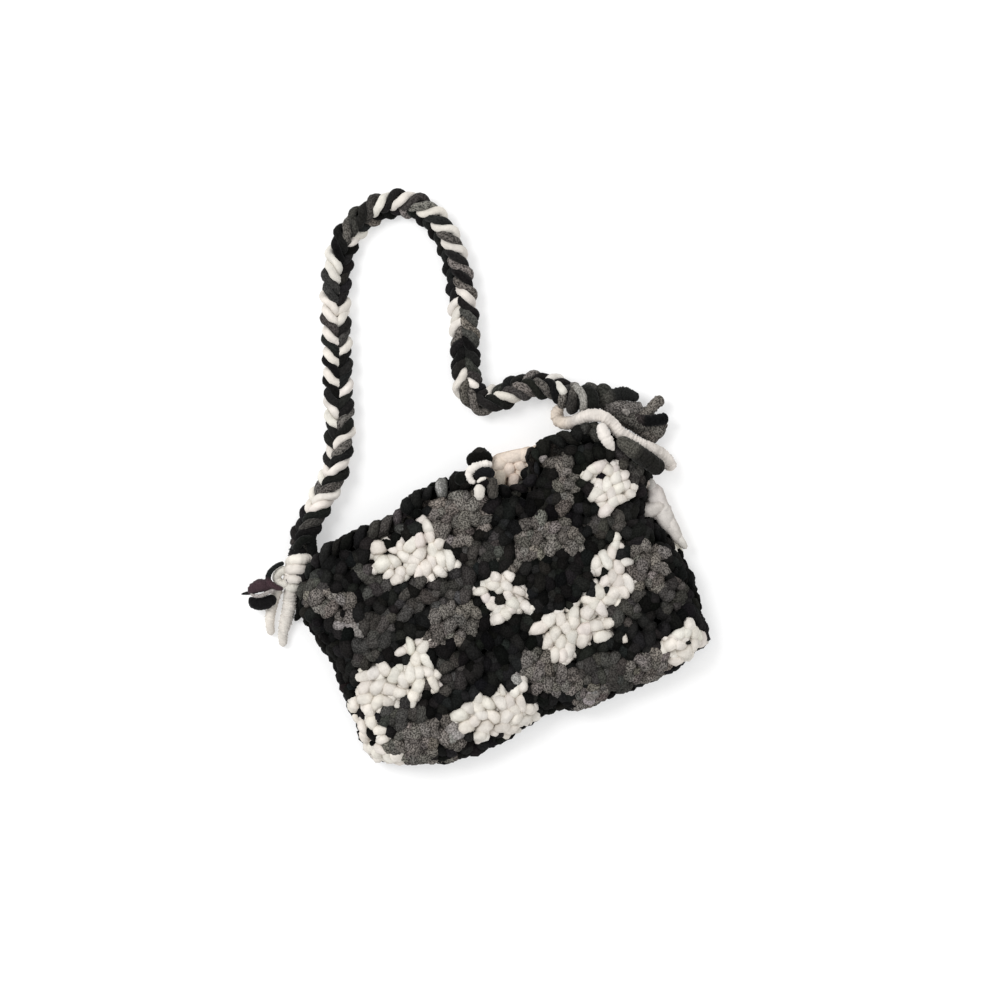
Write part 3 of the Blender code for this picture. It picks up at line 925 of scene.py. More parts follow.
class EndSizes(PropertyGroup):
    """The loose yarn ends"""

    near_yarn: FloatProperty(
        name="Near end", description="Width of the left end beside the bag", default=8.4 * MM, unit="LENGTH", min=0.001
    )
    far_yarn: FloatProperty(
        name="Far end", description="Width of the other left end", default=7 * MM, unit="LENGTH", min=0.001
    )
    long_yarn: FloatProperty(
        name="Long end", description="Width of the long right end", default=9.2 * MM, unit="LENGTH", min=0.001
    )
    tuft: FloatProperty(
        name="Tuft", description="Distance between tufts of pile", default=2.3 * MM, unit="LENGTH", min=0.0005
    )


class StageSizes(PropertyGroup):
    """Camera, floor and light"""

    lens: FloatProperty(name="Lens", description="Focal length in millimetres", default=100, min=10)
    view_width: FloatProperty(
        name="View", description="Width of floor that the camera sees", default=0.74, unit="LENGTH", min=0.1
    )
    turn: FloatProperty(
        name="Turn", description="Turn of the camera about its axis, in degrees", default=-20.5
    )
    floor: FloatVectorProperty(
        name="Floor", description="Colour of the floor", subtype="COLOR", default=(0.6, 0.6, 0.6), min=0, max=1
    )
    glow: FloatProperty(
        name="Glow", description="Light that the floor gives, which keeps its shadows pale", default=0.4, min=0
    )


GROUPS = {
    "bag_colours": YarnColours,
    "bag_stitches": StitchSizes,
    "bag_strap": StrapSizes,
    "bag_ends": EndSizes,
    "bag_stage": StageSizes,
}


# ---------------------------------------------------------------- the pouch
SHELL_SINK = 5.0 * MM  # the ground under the stitches lies this deep; its colour is darkened as painted shade


def shell_mesh(colours, draw):
    """The pouch's ground as one closed wall, under the stitches. Its colour is the yarn's own darkened, with full fold
    shade: painted shade for the deep gaps between stitches, where it shows.
    """
    front = layer_rows("front", SHELL_SINK, 1 * MM)
    back = layer_rows("back", SHELL_SINK, 1 * MM)[:, ::-1]
    rows = np.concatenate([front, back], axis=1)
    bm = bmesh.new()
    bmesh.ops.create_grid(bm, x_segments=rows.shape[1] - 1, y_segments=rows.shape[0] - 1, size=1)
    bm.verts.ensure_lookup_table()
    for number, point in enumerate(rows.reshape(-1, 3)):
        bm.verts[number].co = point
    bmesh.ops.remove_doubles(bm, verts=bm.verts, dist=0.01 * MM)
    bmesh.ops.recalc_face_normals(bm, faces=bm.faces)
    mesh = bpy.data.meshes.new("pouch_shaded_ground")
    bm.to_mesh(mesh)
    bm.free()
    points = vertex_array(mesh)
    shade = []
    for x, y, z in points:
        yarns = FRONT_YARNS if z > SEAM_HEIGHT else BACK_YARNS
        colour = np.array(yarn_shade(colours, yarn_at(yarns, x, y), draw))
        # Painted shade: the ground shows only deep in the gaps between the stitches, so its colour is darkened to stand
        # for the shade there.
        colour[:3] *= 0.45
        shade.append(colour)
    finish_mesh(mesh, points, points.copy(), np.array(shade), np.ones(len(points)))
    return mesh


def skin_yarn(s, t):
    """The yarn at a place on the pouch, by whether it is on the front, the back or inside."""
    (point,), _ = on_skin(np.array([s]), np.array([t]))
    behind = s % 2 > 1
    if t > 1.06 and not behind:
        return "charcoal"
    return yarn_at(BACK_YARNS if behind else FRONT_YARNS, point[0], point[1])


def under_leaf(s, t):
    """Whether a stitch of the front is hidden under the leaves of a light spot, or nearly."""
    (point,), _ = on_skin(np.array([s]), np.array([t]))
    return s % 2 < 1 and in_any(*as_seen(point[0], point[1]), LEAF_REACH)


def loop_row(s, t, heading, length, width, lift, colours, draw, yarn=None):
    """One loop for lobes_piece, a little different from the next. Sizes in millimetres."""
    yarn = yarn or skin_yarn(s, t)
    size = draw.uniform(0.84, 1.2 if yarn in ("white", "cream") else 1.36)
    return (
        s,
        t,
        heading if s % 2 < 1 else -heading,
        length * size * MM,
        width * (0.35 + 0.65 * size) * draw.uniform(0.9, 1.1) * MM,
        (lift + draw.uniform(-0.9, 0.8) * (1.3 if yarn == "black" else 1.0)) * MM,
        draw.uniform(-0.15, 0.15),
        yarn_shade(colours, yarn, draw),
    )


def stitch_rows(sizes, colours, draw, layer):
    """The loops of one layer's stitches: two slanting legs, the bar between the rows and the loop behind them."""
    long, wide = sizes.loop_length / MM, sizes.loop_width / MM
    rows = []
    for number in range(sizes.rows):
        for column in range(sizes.columns):
            start = column + 0.5 + 0.25 * (-1) ** number
            for ds, dt, heading, spread, length, width, lift in (
                (-0.24, 0.0, 44, 17, 1.05, 1.0, -3.0),
                (0.26, 0.06, 112, 19, 0.95, 0.98, -3.1),
                (0.02, 0.52, 4, 20, 0.8, 0.94, -3.4),
                (0.5, 0.3, 75, 60, 0.68, 1.0, -4.3),
            ):
                share = (start + ds + draw.uniform(-0.13, 0.13)) / sizes.columns
                t = (number + 0.5 + dt + draw.uniform(-0.15, 0.15)) / sizes.rows
                if 0.02 < share < 0.98 and t < 0.96:
                    turn = heading + draw.normal(0, spread)
                    s = seat(share, t, layer)
                    row = loop_row(s, t, turn, long * length, wide * width, lift, colours, draw)
                    if under_leaf(s, t):
                        small = (row[3] * 0.72, row[4] * 0.85, row[5] - 1.3 * MM)
                        row = (*row[:3], *small, row[6], yarn_shade(colours, "white", draw))
                    rows.append(row)
    return rows


# The smooth runs that show beside the front's right edge and in the mouth's dip: x, y, z of the middle, heading,
# length, width.
SIDE_PANEL = (
    (136.5, 29, 14, 95, 26, 9), (135.5, 22, 14.5, 82, 28, 15), (129.5, 18, 17.5, 178, 22, 12), (134, 17, 15, 150, 22, 12),
    (137, 11, 14.5, -85, 32, 14), (139, 1, 14, -80, 30, 11), (141, -8, 13.5, -74, 22, 7),
)
MOUTH_PANEL = (
    (48, 90.5, 17.5, -6, 38, 11), (35, 89, 18, 170, 16, 11), (58, 88, 18, -8, 16, 12), (61, 82.5, 17, -95, 14, 8),
    (33, 79, 18, -112, 20, 9), (41, 83, 17.5, -100, 14, 10), (41.5, 73.5, 18.5, -118, 13, 8.5), (50, 82, 17, -60, 14, 9),
    (47, 77, 16, -110, 11, 7), (29, 84, 17, -95, 12, 8), (56, 81, 16.5, -80, 11, 7),
)
MOUTH_LUMPS = ((53, 75.5, 22, 20, 11, 9.5),)
DIP_SIDE = (52 * MM, 67 * MM)  # where the front's rim climbs out of the mouth's dip
LEAF_LIFT = -1.7  # of a leaf's middle line above the skin, in millimetres


def panel_seats(x, y):
    """Level seats, on which a loop's lift is its height."""
    shape = np.broadcast(x, y).shape
    return (
        np.stack([x, y, np.zeros(shape)], axis=-1),
        np.broadcast_to((1.0, 0.0, 0.0), (*shape, 3)),
        np.broadcast_to((0.0, 0.0, 1.0), (*shape, 3)),
    )


def panel_rows(places, yarn, colours, draw):
    """The loops of a smooth run, for panel_seats."""
    return [
        (x * MM, y * MM, heading, length * MM, width * MM, z * MM, 0.0, yarn_shade(colours, yarn, draw))
        for x, y, z, heading, length, width in places
    ]


def leaf_rows(colours, draw):
    """The loops of the light spots, for front_seats."""
    rows = []
    for yarn, leaves in FRONT_LEAVES.items():
        for x, y, heading, length, width in leaves:
            lift = (LEAF_LIFT + draw.uniform(-0.5, 0.5)) * MM
            bend = draw.uniform(-0.08, 0.08)
            middle = VIEW_CENTRE + (np.array([x, y]) * MM - VIEW_CENTRE) * DRAWN_IN
            rows.append((*middle, heading, length * MM, width * MM, lift, bend, yarn_shade(colours, yarn, draw)))
    return rows


def edge_rows(colours, draw):
    """Loops along both side seams and the base, and the wraps over the two rims."""
    rows = []
    for number in range(19):
        t = (number + 0.5) / 19
        slant = 26 * (-1) ** number + draw.normal(0, 9)
        front, back = edge_at(t, "front"), edge_at(t, "back")
        for s, turn in ((0.008, 90 + slant), (1.99, 90 - slant), (front - 0.01, 90 + slant), (back + 0.012, 90 - slant)):
            rows.append(loop_row(s, t, turn, 14, 9, -3.4, colours, draw))
    for number in range(30):
        share = (number + 0.5) / 30
        rows.append(loop_row(seat(share, 0, "front"), 0.004, draw.normal(0, 26), 14, 9, -3.4, colours, draw))
        rows.append(loop_row(seat(share, 0, "back"), 0.03, draw.normal(0, 26), 14, 9, -3.6, colours, draw))
    for number in range(31):
        share = (number + 0.5) / 31
        for layer in ("front", "back"):
            s = seat(share, 1.0, layer)
            steep = layer == "front" and DIP_SIDE[0] < on_skin(np.array([s]), np.array([1.0]))[0][0][0] < DIP_SIDE[1]
            length = 12 if steep else 23
            rows.append(loop_row(s, 1.015, 90 + draw.normal(0, 13), length, 9.6, -3.6, colours, draw))
    return rows


def inner_rows(sizes, colours, draw):
    """Flatter loops on the two walls of the hollow, as deep as the mouth lets them be seen."""
    rows = []
    for number in range(5):
        for column in range(sizes.columns):
            share = (column + 0.5 + 0.3 * (number % 2)) / (sizes.columns + 1)
            t = 1.12 + 0.055 * number + draw.uniform(-0.01, 0.01)
            for layer in ("front", "back"):
                for heading in (40, -35):
                    s = seat(share, t, layer)
                    rows.append(loop_row(s, t, heading + draw.normal(0, 14), 14, 8.4, -2.6, colours, draw))
    return rows


class CROCHET_BAG_OT_pouch(Operator):
    """Make the pouch: its ground, the stitches of both layers, the seams, the rims and the inside"""

    bl_idname = "crochet_bag.pouch"
    bl_label = "Pouch"

    def execute(self, context):
        scene = context.scene
        colours, sizes = scene.bag_colours, scene.bag_stitches
        draw = np.random.default_rng(21)
        yarn = yarn_material("stitch_yarn", 900.0, 0.03, 0.6 * MM)
        ground = yarn_material("shaded_ground_yarn", 900.0, 0.0, 0.6 * MM)
        shell = add_piece("pouch_shaded_ground", shell_mesh(colours, draw), ground, ["bag_pouch"])
        pieces = [
            lobes_piece("stitches_front", stitch_rows(sizes, colours, draw, "front"), draw, yarn,
                        skin_seats),
            lobes_piece("stitches_back", stitch_rows(sizes, colours, draw, "back"), draw, yarn,
                        skin_seats),
            lobes_piece("light_spots_front", leaf_rows(colours, draw), draw, yarn, front_seats,
                        taper=(0.1, 0.4), droop=0.32),
            lobes_piece("seams_and_rims", edge_rows(colours, draw), draw, yarn),
            # The side panel's white yarn is drawn in a darker colour as painted shade.
            lobes_piece("side_panel", panel_rows(SIDE_PANEL, "pearl", colours, draw), draw, yarn,
                        panel_seats, taper=(0.05, 0.2), droop=0.14, depth=0.85),
            lobes_piece("mouth_panel", panel_rows(MOUTH_PANEL, "cream", colours, draw)
                        + panel_rows(MOUTH_LUMPS, "black", colours, draw), draw, yarn,
                        panel_seats, taper=(0.0, 0.2), droop=0.2, depth=0.6),
            lobes_piece("stitches_inside", inner_rows(sizes, colours, draw), draw, yarn),
        ]
        return {"FINISHED"}


# ---------------------------------------------------------------- the strap
# How far the plait is rolled about its middle line, in degrees, by share of its length.
STRAP_ROLL = ((0.0, 58), (0.14, 52), (0.19, 12), (0.22, -12), (0.33, -20), (0.38, -34), (0.44, -46), (0.48, -58),
              (0.66, -58), (0.72, -34), (0.78, -10), (0.83, 8), (0.88, 46), (1.0, 58))
# The yarn of each band along the two edges of the plait, from the left knot on: k black, c charcoal, g grey, w white.
OUTER_BANDS = "cckkkwwgwwkwkkwwkkwkwkwcwwccwwkkgckcwkwcgwkwgwkgkgwkcgckkccwkkwckkgkwkkc"
INNER_BANDS = "ckkckwwgkwkgwkgkkwkkkwckwwkkkkkkwwkgkkkgkkkkkkkkkkkwwwgkkkwggkkwcgkgkwcg"
STRAP_DROP = 1.4 * MM  # the flat plait lies lower than its round envelope


def strand_phase(along, sizes, strand):
    """How far along its figure of eight each point of a strand is, in half turns."""
    return 2 * (along / sizes.repeat + strand / 3)


def plait_yarns(line, sizes):
    """The middle lines of the plait's six yarns: a strand's path is a figure of eight seen along the strap, and its
    two yarns keep side by side, turning over at each edge."""
    along = lengths_along(line)
    tangents = np.gradient(line, axis=0)
    tangents /= np.linalg.norm(tangents, axis=1, keepdims=True)
    across = np.cross(tangents, (0, 0, 1))
    across /= np.linalg.norm(across, axis=1, keepdims=True)
    up = np.cross(across, tangents)
    roll = np.radians(np.interp(along / along[-1], *zip(*STRAP_ROLL)))
    wide = across * np.cos(roll)[:, None] + up * np.sin(roll)[:, None]
    high = up * np.cos(roll)[:, None] - across * np.sin(roll)[:, None]
    yarns = []
    for strand in range(3):
        halves = strand_phase(along, sizes, strand)
        x = sizes.swing * np.sin(math.pi * halves)
        z = sizes.depth * np.sin(math.tau * halves)
        direction = np.column_stack([np.ones_like(x), np.gradient(x, along), np.gradient(z, along)])
        direction /= np.linalg.norm(direction, axis=1, keepdims=True)
        turn = np.radians(360 * np.abs(halves % 2 - 1) - 270)
        beside = np.column_stack([np.zeros_like(x), np.cos(turn), np.sin(turn)])
        beside -= direction * np.sum(beside * direction, axis=1, keepdims=True)
        beside /= np.linalg.norm(beside, axis=1, keepdims=True)
        for offset in (-0.47, 0.47):
            part = beside * offset * sizes.yarn
            yarns.append(
                line
                + tangents * part[:, :1]
                + wide * (x + part[:, 1])[:, None]
                + high * (z + part[:, 2])[:, None]
                - np.array([0, 0, STRAP_DROP])
            )
    return yarns


def band_shades(colours, along, sizes, strand, ahead, draw):
    """The colour at each point of one of the plait's yarns. It changes inside the plait, where a strand crosses its
    middle. ahead is 1 for the yarn of the pair that reaches the edge further along."""
    shades = {}
    found = []
    for half in np.floor(strand_phase(along, sizes, strand)).astype(int):
        if half not in shades:
            bands = OUTER_BANDS if half % 2 else INNER_BANDS
            band = min(max(3 * half + 1 - 2 * strand + ahead, 0), len(bands) - 1)
            shades[half] = yarn_shade(colours, LETTERS[bands[band]], draw)
        found.append(shades[half])
    return np.array(found)


class CROCHET_BAG_OT_strap(Operator):
    """Make the plaited strap"""

    bl_idname = "crochet_bag.strap"
    bl_label = "Strap"

    def execute(self, context):
        scene = context.scene
        sizes, colours = scene.bag_strap, scene.bag_colours
        draw = np.random.default_rng(5)
        line = smooth_route(STRAP_ROUTE, 1.3 * MM)
        along = lengths_along(line)
        parts = []
        for number, points in enumerate(plait_yarns(line, sizes)):
            mesh, places, place, ring = tube_data(points, sizes.yarn / 2, draw, sides=10, tufts=0.025)
            shade = band_shades(colours, along, sizes, number // 2, 1 - number % 2, draw)
            parts.append((mesh, places, place, shade[ring], np.zeros(len(ring))))
        material = yarn_material("plait_yarn", 900.0, 0.08, 0.5 * MM)
        strap = tubes_piece("strap_plait", parts, material, ["strap"])
        return {"FINISHED"}


# ---------------------------------------------------------------- knots
def wound_stops(centre, half_sizes, heading, turns, yarn, start=0.0, fill=0.8):
    """Stops in millimetres of yarn wound round a knot's long axis from one end to the other."""
    turn = math.radians(heading)
    long_axis = np.array([math.cos(turn), math.sin(turn), 0])
    side_axis = np.array([-math.sin(turn), math.cos(turn), 0])
    stops = []
    for share in np.linspace(0, 1, int(turns * 14) + 1):
        angle = math.tau * (turns * share + start)
        reach = (share * 2 - 1) * fill
        girth = math.sqrt(max(1 - reach * reach * 0.75, 0.05))
        stops.append(
            np.array(centre)
            + long_axis * reach * half_sizes[0]
            + side_axis * math.cos(angle) * (half_sizes[1] * girth - yarn / 2)
            + np.array([0, 0, 1]) * math.sin(angle) * (half_sizes[2] * girth - yarn / 2)
        )
    return stops


class CROCHET_BAG_OT_knots(Operator):
    """Make the two knots where the strap is tied to the bag's corners"""

    bl_idname = "crochet_bag.knots"
    bl_label = "Knots"

    def execute(self, context):
        colours = context.scene.bag_colours
        draw = np.random.default_rng(8)
        material = yarn_material("knot_yarn", 900.0, 0.08, 0.5 * MM)

        def yarn(stops, diameter, runs, **shape):
            return yarn_tube(stops, diameter, runs, draw, colours, **{"tufts": 0.05, **shape})[1]

        left = [
            yarn(((-124, 86, 13), (-128, 78, 13), (-134, 70, 13), (-141, 62, 11)), 14,
                 (("black", 0.3), ("charcoal", 0.5), ("white", 1.0))),
            yarn(((-136, 75, 7), (-133, 75.5, 17), (-127.5, 75, 22.5), (-121.5, 72.5, 17), (-120, 71, 8)), 8.4, "white"),
            yarn(((-139, 69, 7), (-136.5, 70, 17), (-131, 69, 22), (-126, 66, 16), (-125, 64.5, 8)), 8.2, "white"),
            yarn(((-142, 63.5, 7), (-140, 64, 14.5), (-135, 62.5, 18.5), (-130, 60, 13), (-129, 58.5, 7)), 7.6, "white"),
            yarn(((-139, 71, 15), (-144, 71.5, 15), (-148.5, 68.5, 12.5), (-147, 62.5, 12), (-141, 61.5, 14)), 6.6, "white"),
            yarn(((-145, 59.5, 11), (-140, 57.5, 13), (-134, 57, 11)), 7.5, "white"),
            # Painted shade: two thin charcoal strands lie where shadow falls between the knot's white wraps.
            yarn(((-134, 65.8, 20.5), (-131, 64, 20), (-130.5, 61, 16)), 3.4, "charcoal", girth=(0.6, 1, 0.7)),
            yarn(((-142.5, 65.5, 15.5), (-141, 63.5, 17), (-141.5, 61, 16)), 2.8, "charcoal", girth=(0.6, 1, 0.6)),
            yarn(((-112.5, 94, 14), (-114.5, 86, 15), (-116.5, 78, 16), (-119, 70, 15)), 8, "black"),
            yarn(((-137, 53, 8), (-138.8, 45.5, 6), (-142, 38, 5), (-148, 33, 4)), 6.5, "black", girth=(1, 1, 1, 0.5)),
        ]
        tubes_piece("knot_left_wraps", left, material, ["knot_left"])
        right = [
            yarn(((101, 121, 15), (108, 114, 15.5), (120, 109, 14.5)), 17, (("charcoal", 0.3), ("black", 1.0))),
            yarn(wound_stops((104.5, 115.5, 15), (11, 12, 12), -42, 2.2, 8, start=0.2), 8,
                 (("grey", 0.45), ("charcoal", 0.7), ("black", 1.0))),
            # Painted shade: this strand is white yarn, drawn in the silver colour for the shade it lies in.
            yarn(((106.5, 124, 14), (109.5, 121, 24), (111, 115, 29), (109.5, 108, 27), (107, 102.5, 19)), 6, "silver"),
            yarn(((114, 119, 12), (117, 114.5, 25), (116.5, 107, 26), (113, 101, 16)), 9.5, "black"),
        ]
        tubes_piece("knot_right_wraps", right, material, ["knot_right"])
        return {"FINISHED"}


# ---------------------------------------------------------------- loose ends
class CROCHET_BAG_OT_ends(Operator):
    """Make the loose yarn ends at both corners and the tassel"""

    bl_idname = "crochet_bag.ends"
    bl_label = "Yarn ends"

    def execute(self, context):
        scene = context.scene
        colours, sizes = scene.bag_colours, scene.bag_ends
        draw = np.random.default_rng(13)
        material = yarn_material("end_yarn", 900.0, 0.08, 0.5 * MM)
        near, far, thick, tuft = sizes.near_yarn / MM, sizes.far_yarn / MM, sizes.long_yarn / MM, sizes.tuft
        for name, stops, width, girth, runs, node in (
            ("end_left_near_yarn", LEFT_NEAR_ROUTE, near, (0.9, 1.2, 1.25, 1.15, 0.9, 0.7), "white", "end_left_near"),
            ("end_left_far_yarn", LEFT_FAR_ROUTE, far, (1, 1.1, 1.05, 0.8), "white", "end_left_far"),
            ("end_right_white_yarn", WHITE_END_ROUTE, thick, (1, 1), (("cream", 0.16), ("white", 1.0)),
             "end_right_white"),
        ):
            points, part = yarn_tube(stops, width, runs, draw, colours, spacing=0.6 * MM, tufts=0.075, pitch=tuft,
                                     sides=16, girth=girth)
            piece = tubes_piece(name, [part], material, [node])

        def yarn(stops, diameter, runs, **shape):
            return yarn_tube(stops, diameter, runs, draw, colours, **{"tufts": 0.06, "pitch": tuft, **shape})[1]

        short = [
            yarn(((116, 91, 41), (115, 84, 43), (115.8, 77, 43), (118, 68.5, 41.5)), 9.5, "white", sides=14,
                 girth=(0.75, 1, 0.95, 0.35)),
        ]
        tubes_piece("end_right_short_yarn", short, material, ["end_right_short"])
        black = [yarn(((123, 76, 38), (129, 68, 40), (136, 57.5, 36), (142, 49, 29), (146, 43.5, 22)), 12.6,
                      (("charcoal", 0.35), ("black", 1.0)), sides=16, tufts=0.05, girth=(0.7, 1.0, 1.0, 0.95), tips=(1, 0.8))]
        tubes_piece("end_right_black_yarn", black, material, ["end_right_black"])
        tassel = [
            yarn(stops, diameter, runs, sides=12, tips=(1, 0.7), girth=girth)
            for stops, diameter, runs, girth in (
                (((114, 112, 14), (118, 117, 16), (121.5, 121.5, 15)), 10.5, "charcoal", (1, 1.1, 1)),
                (((120, 109, 15), (126, 112, 17), (131, 116.5, 15)), 10.5, "charcoal", (1, 1.1, 1)),
                (((118, 106, 12), (126, 107, 18), (134, 107, 18), (142, 105, 15), (150, 98.5, 11)), 9.5,
                 (("charcoal", 0.4), ("black", 1.0)), (1, 1.1, 1.1, 0.7)),
                (((136, 94, 12), (146, 88, 14), (153, 87, 13), (160, 90.5, 12), (167, 92.5, 9)), 9, "grey",
                 (1, 1, 0.95, 0.9)),
                (((138, 91, 14), (147, 82, 17), (156, 79, 17), (165, 77.5, 14)), 8.8, (("charcoal", 0.4), ("black", 1.0)),
                 (1, 1, 1)),
                (((122, 104, 12), (132, 98, 17), (142, 93, 15), (150, 90, 12)), 12, "grey", (1, 1, 0.9)),
                (((124, 100, 10), (134, 92, 14), (143, 83, 14), (150, 75, 11)), 12, "grey", (1, 1, 1)),
                (((128, 95, 8), (139, 84, 9), (147, 73, 9), (152, 64, 7)), 12, "grey", (1, 1, 1)),
                (((134, 93, 8), (146, 84, 9), (153, 74, 9), (157, 66, 7)), 12, "grey", (1, 1, 1)),
                (((142, 90, 8), (151, 83, 8), (158, 75, 7), (161, 70, 6)), 10, "grey", (1, 1, 1)),
                (((135, 95, 20), (137, 92.5, 22), (139, 90, 21.5)), 4.2, "silver", (1, 1)),
            )
        ]
        tubes_piece("tassel_yarns", tassel, material, ["tassel"])
        return {"FINISHED"}


class CROCHET_BAG_OT_bow(Operator):
    """Make the small dark bow at the left corner and the thread that ties it"""

    bl_idname = "crochet_bag.bow"
    bl_label = "Bow"

    def execute(self, context):
        colours = context.scene.bag_colours
        draw = np.random.default_rng(3)
        material = yarn_material("bow_cord", 1100.0, 0.12, 0.3 * MM)

        def cord(stops, diameter, yarn, **shape):
            return yarn_tube(stops, diameter, yarn, draw, colours, **{"tufts": 0.04, **shape})[1]

        thread = cord(((-147, 58.5, 14.5), (-151, 61.5, 17), (-154.5, 67, 17.5), (-152.5, 72.5, 18), (-146, 76, 19), (-139, 76.5, 18)), 4.2,
                      (("plum", 0.45), ("black", 1.0)), girth=(0.8, 1.1, 1, 0.9, 0.8))
        tubes_piece("bow_thread_cord", [thread], material, ["bow_thread"])
        parts = [
            cord(((-152, 61.5, 14), (-157, 65, 14.5), (-163, 67, 14), (-168.5, 66, 12.5), (-172, 63.5, 11)), 9.4, "plum",
                 sides=14, girth=(0.7, 1, 1.05, 0.9, 0.5)),
            cord(((-173, 61.5, 10), (-170.5, 56, 10), (-165, 53.5, 10.5), (-159, 54, 11), (-155, 56.5, 12)), 9.8,
                 "black", sides=14, girth=(0.5, 0.95, 1, 0.95, 0.8)),
            cord(((-171, 63.8, 14), (-168, 61, 16.5), (-163.5, 59.6, 17.5), (-158, 60, 18), (-150, 60.5, 15)), 3.0, "silver",
                 girth=(0.5, 0.9, 1, 1, 0.8)),
            cord(((-170, 64, 11), (-173.5, 65, 10.5), (-178, 65.8, 9.5)), 3.2, "black", girth=(1, 0.8, 0.3)),
        ]
        tubes_piece("bow_cord", parts, material, ["bow"])
        return {"FINISHED"}


class CROCHET_BAG_OT_closure(Operator):
    """Make the bobble button and the yarn ring that slips over it"""

    bl_idname = "crochet_bag.closure"
    bl_label = "Closure"

    def execute(self, context):
        colours = context.scene.bag_colours
        draw = np.random.default_rng(17)
        material = yarn_material("closure_yarn", 900.0, 0.08, 0.5 * MM)

        def yarn(stops, diameter, runs, **shape):
            return yarn_tube(stops, diameter, runs, draw, colours, **{"tufts": 0.05, **shape})[1]

        ball = [
            yarn(((14, 96, 22), (19, 98.2, 23), (25.5, 97.5, 23), (32.5, 93.8, 22)), 12, "black", sides=14,
                 girth=(0.8, 1.05, 1.05, 0.8)),
            yarn(((18.5, 100, 22), (25, 101.5, 23), (30.5, 98.5, 22)), 9, "black", sides=14, girth=(0.8, 1.05, 0.8)),
        ]
        tubes_piece("bobble_yarn", ball, material, ["bobble_button"])
        loops = [
            yarn(((31, 90.5, 34), (24, 92.5, 36), (17, 92.8, 38), (12.3, 90, 38.5), (12, 85.5, 39), (14.5, 82, 40)), 6,
                 "white", tufts=0.1, girth=(0.9, 1.1, 1.1, 1.1, 0.9, 0.7)),
            yarn(((16, 90.5, 34), (21, 91, 35), (25, 90, 35)), 7, "silver", tufts=0.1),
            yarn(((16.5, 84, 38), (20, 87.3, 39), (25.5, 86.5, 39.5), (28.8, 81.5, 38.5)), 7.6, "black",
                 girth=(0.7, 1, 1, 0.9)),
            yarn(((15.5, 81.8, 41), (19.5, 83, 42), (23.5, 82.6, 41.5)), 3, "white", girth=(0.7, 1, 0.7)),
            yarn(((14.5, 80.5, 40), (20, 79.3, 41.2), (26, 79, 40.5)), 4.4, "black", girth=(0.6, 1, 0.8)),
            yarn(((17.3, 80.5, 39), (15.2, 75.5, 41.3), (12.8, 69, 39.5)), 8.2, "white", girth=(0.6, 1, 0.95, 0.7)),
            yarn(((27, 82, 38), (25.3, 75, 40), (22.5, 66.5, 39)), 8.5, "charcoal", girth=(0.9, 1, 0.9)),
            yarn(((1, 86, 36), (7, 89.5, 37), (11, 87, 36)), 10, "black", girth=(0.8, 1, 0.8)),
        ]
        tubes_piece("button_ring_yarn", loops, material, ["button_loop"])
        return {"FINISHED"}


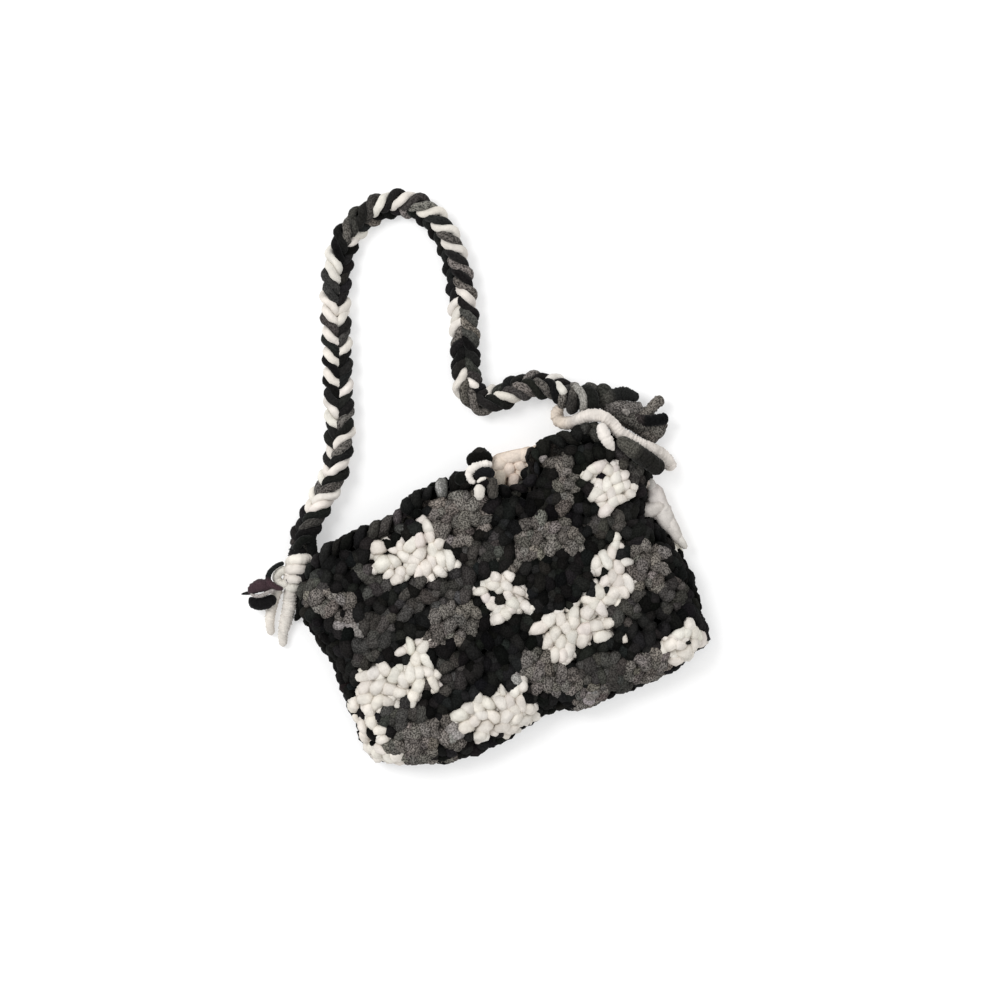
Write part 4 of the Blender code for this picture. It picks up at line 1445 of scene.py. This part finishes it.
# ---------------------------------------------------------------- the stage
class CROCHET_BAG_OT_stage(Operator):
    """Make the camera above the bag, the pale floor and the soft light"""

    bl_idname = "crochet_bag.stage"
    bl_label = "Stage"

    def execute(self, context):
        scene = context.scene
        sizes = scene.bag_stage
        camera_data = bpy.data.cameras.new("camera")
        camera_data.lens = sizes.lens
        camera = bpy.data.objects.new("camera", camera_data)
        scene.collection.objects.link(camera)
        height = sizes.view_width * sizes.lens / camera_data.sensor_width
        camera.location = (0.027, 0.064, height + 0.02)
        camera.rotation_euler = (0, 0, math.radians(sizes.turn))
        scene.camera = camera

        bm = bmesh.new()
        bmesh.ops.create_grid(bm, x_segments=1, y_segments=1, size=4)
        mesh = bpy.data.meshes.new("floor")
        bm.to_mesh(mesh)
        bm.free()
        paint = bpy.data.materials.new("floor_paint")
        paint.use_nodes = True
        surface = paint.node_tree.nodes["Principled BSDF"]
        surface.inputs["Base Color"].default_value = (*sizes.floor, 1)
        surface.inputs["Roughness"].default_value = 0.9
        surface.inputs["Emission Color"].default_value = (1, 1, 1, 1)
        surface.inputs["Emission Strength"].default_value = sizes.glow
        mesh.materials.append(paint)
        floor = bpy.data.objects.new("floor", mesh)
        scene.collection.objects.link(floor)

        for name, place, size, power in (
            ("key_light", (-0.9, 1.2, 1.9), 1.2, 30),
            ("fill_light", (1.4, -0.6, 1.6), 1.6, 5),
        ):
            light_data = bpy.data.lights.new(name, "AREA")
            light_data.shape = "DISK"
            light_data.size = size
            light_data.energy = power
            light = bpy.data.objects.new(name, light_data)
            light.location = place
            light.rotation_euler = (-Vector(place)).to_track_quat("-Z", "Y").to_euler()
            scene.collection.objects.link(light)
        world = bpy.data.worlds.new("studio")
        world.use_nodes = True
        world.node_tree.nodes["Background"].inputs["Color"].default_value = (1, 1, 1, 1)
        world.node_tree.nodes["Background"].inputs["Strength"].default_value = 0.86
        scene.world = world
        scene.view_settings.view_transform = "Standard"
        return {"FINISHED"}


class CROCHET_BAG_PT_panel(Panel):
    """Lists the steps and the sizes"""

    bl_label = "Crochet bag"
    bl_idname = "CROCHET_BAG_PT_panel"
    bl_space_type = "VIEW_3D"
    bl_region_type = "UI"
    bl_category = "Crochet bag"

    def draw(self, context):
        for operator in OPERATORS:
            self.layout.operator(operator.bl_idname)
        for group, kind in GROUPS.items():
            box = self.layout.box()
            box.label(text=kind.__doc__)
            for name in kind.__annotations__:
                box.prop(getattr(context.scene, group), name)


OPERATORS = (
    CROCHET_BAG_OT_stage,
    CROCHET_BAG_OT_strap,
    CROCHET_BAG_OT_ends,
    CROCHET_BAG_OT_knots,
    CROCHET_BAG_OT_bow,
    CROCHET_BAG_OT_closure,
    CROCHET_BAG_OT_pouch,
)


def register():
    for kind in (*GROUPS.values(), *OPERATORS, CROCHET_BAG_PT_panel):
        bpy.utils.register_class(kind)
    for name, kind in GROUPS.items():
        setattr(bpy.types.Scene, name, PointerProperty(type=kind))


def unregister():
    for name in GROUPS:
        delattr(bpy.types.Scene, name)
    for kind in reversed((*GROUPS.values(), *OPERATORS, CROCHET_BAG_PT_panel)):
        bpy.utils.unregister_class(kind)


def main():
    register()
    bpy.ops.crochet_bag.stage()
    bpy.ops.crochet_bag.strap()
    bpy.ops.crochet_bag.ends()
    bpy.ops.crochet_bag.knots()
    bpy.ops.crochet_bag.bow()
    bpy.ops.crochet_bag.closure()
    bpy.ops.crochet_bag.pouch()


if __name__ == "__main__":
    main()
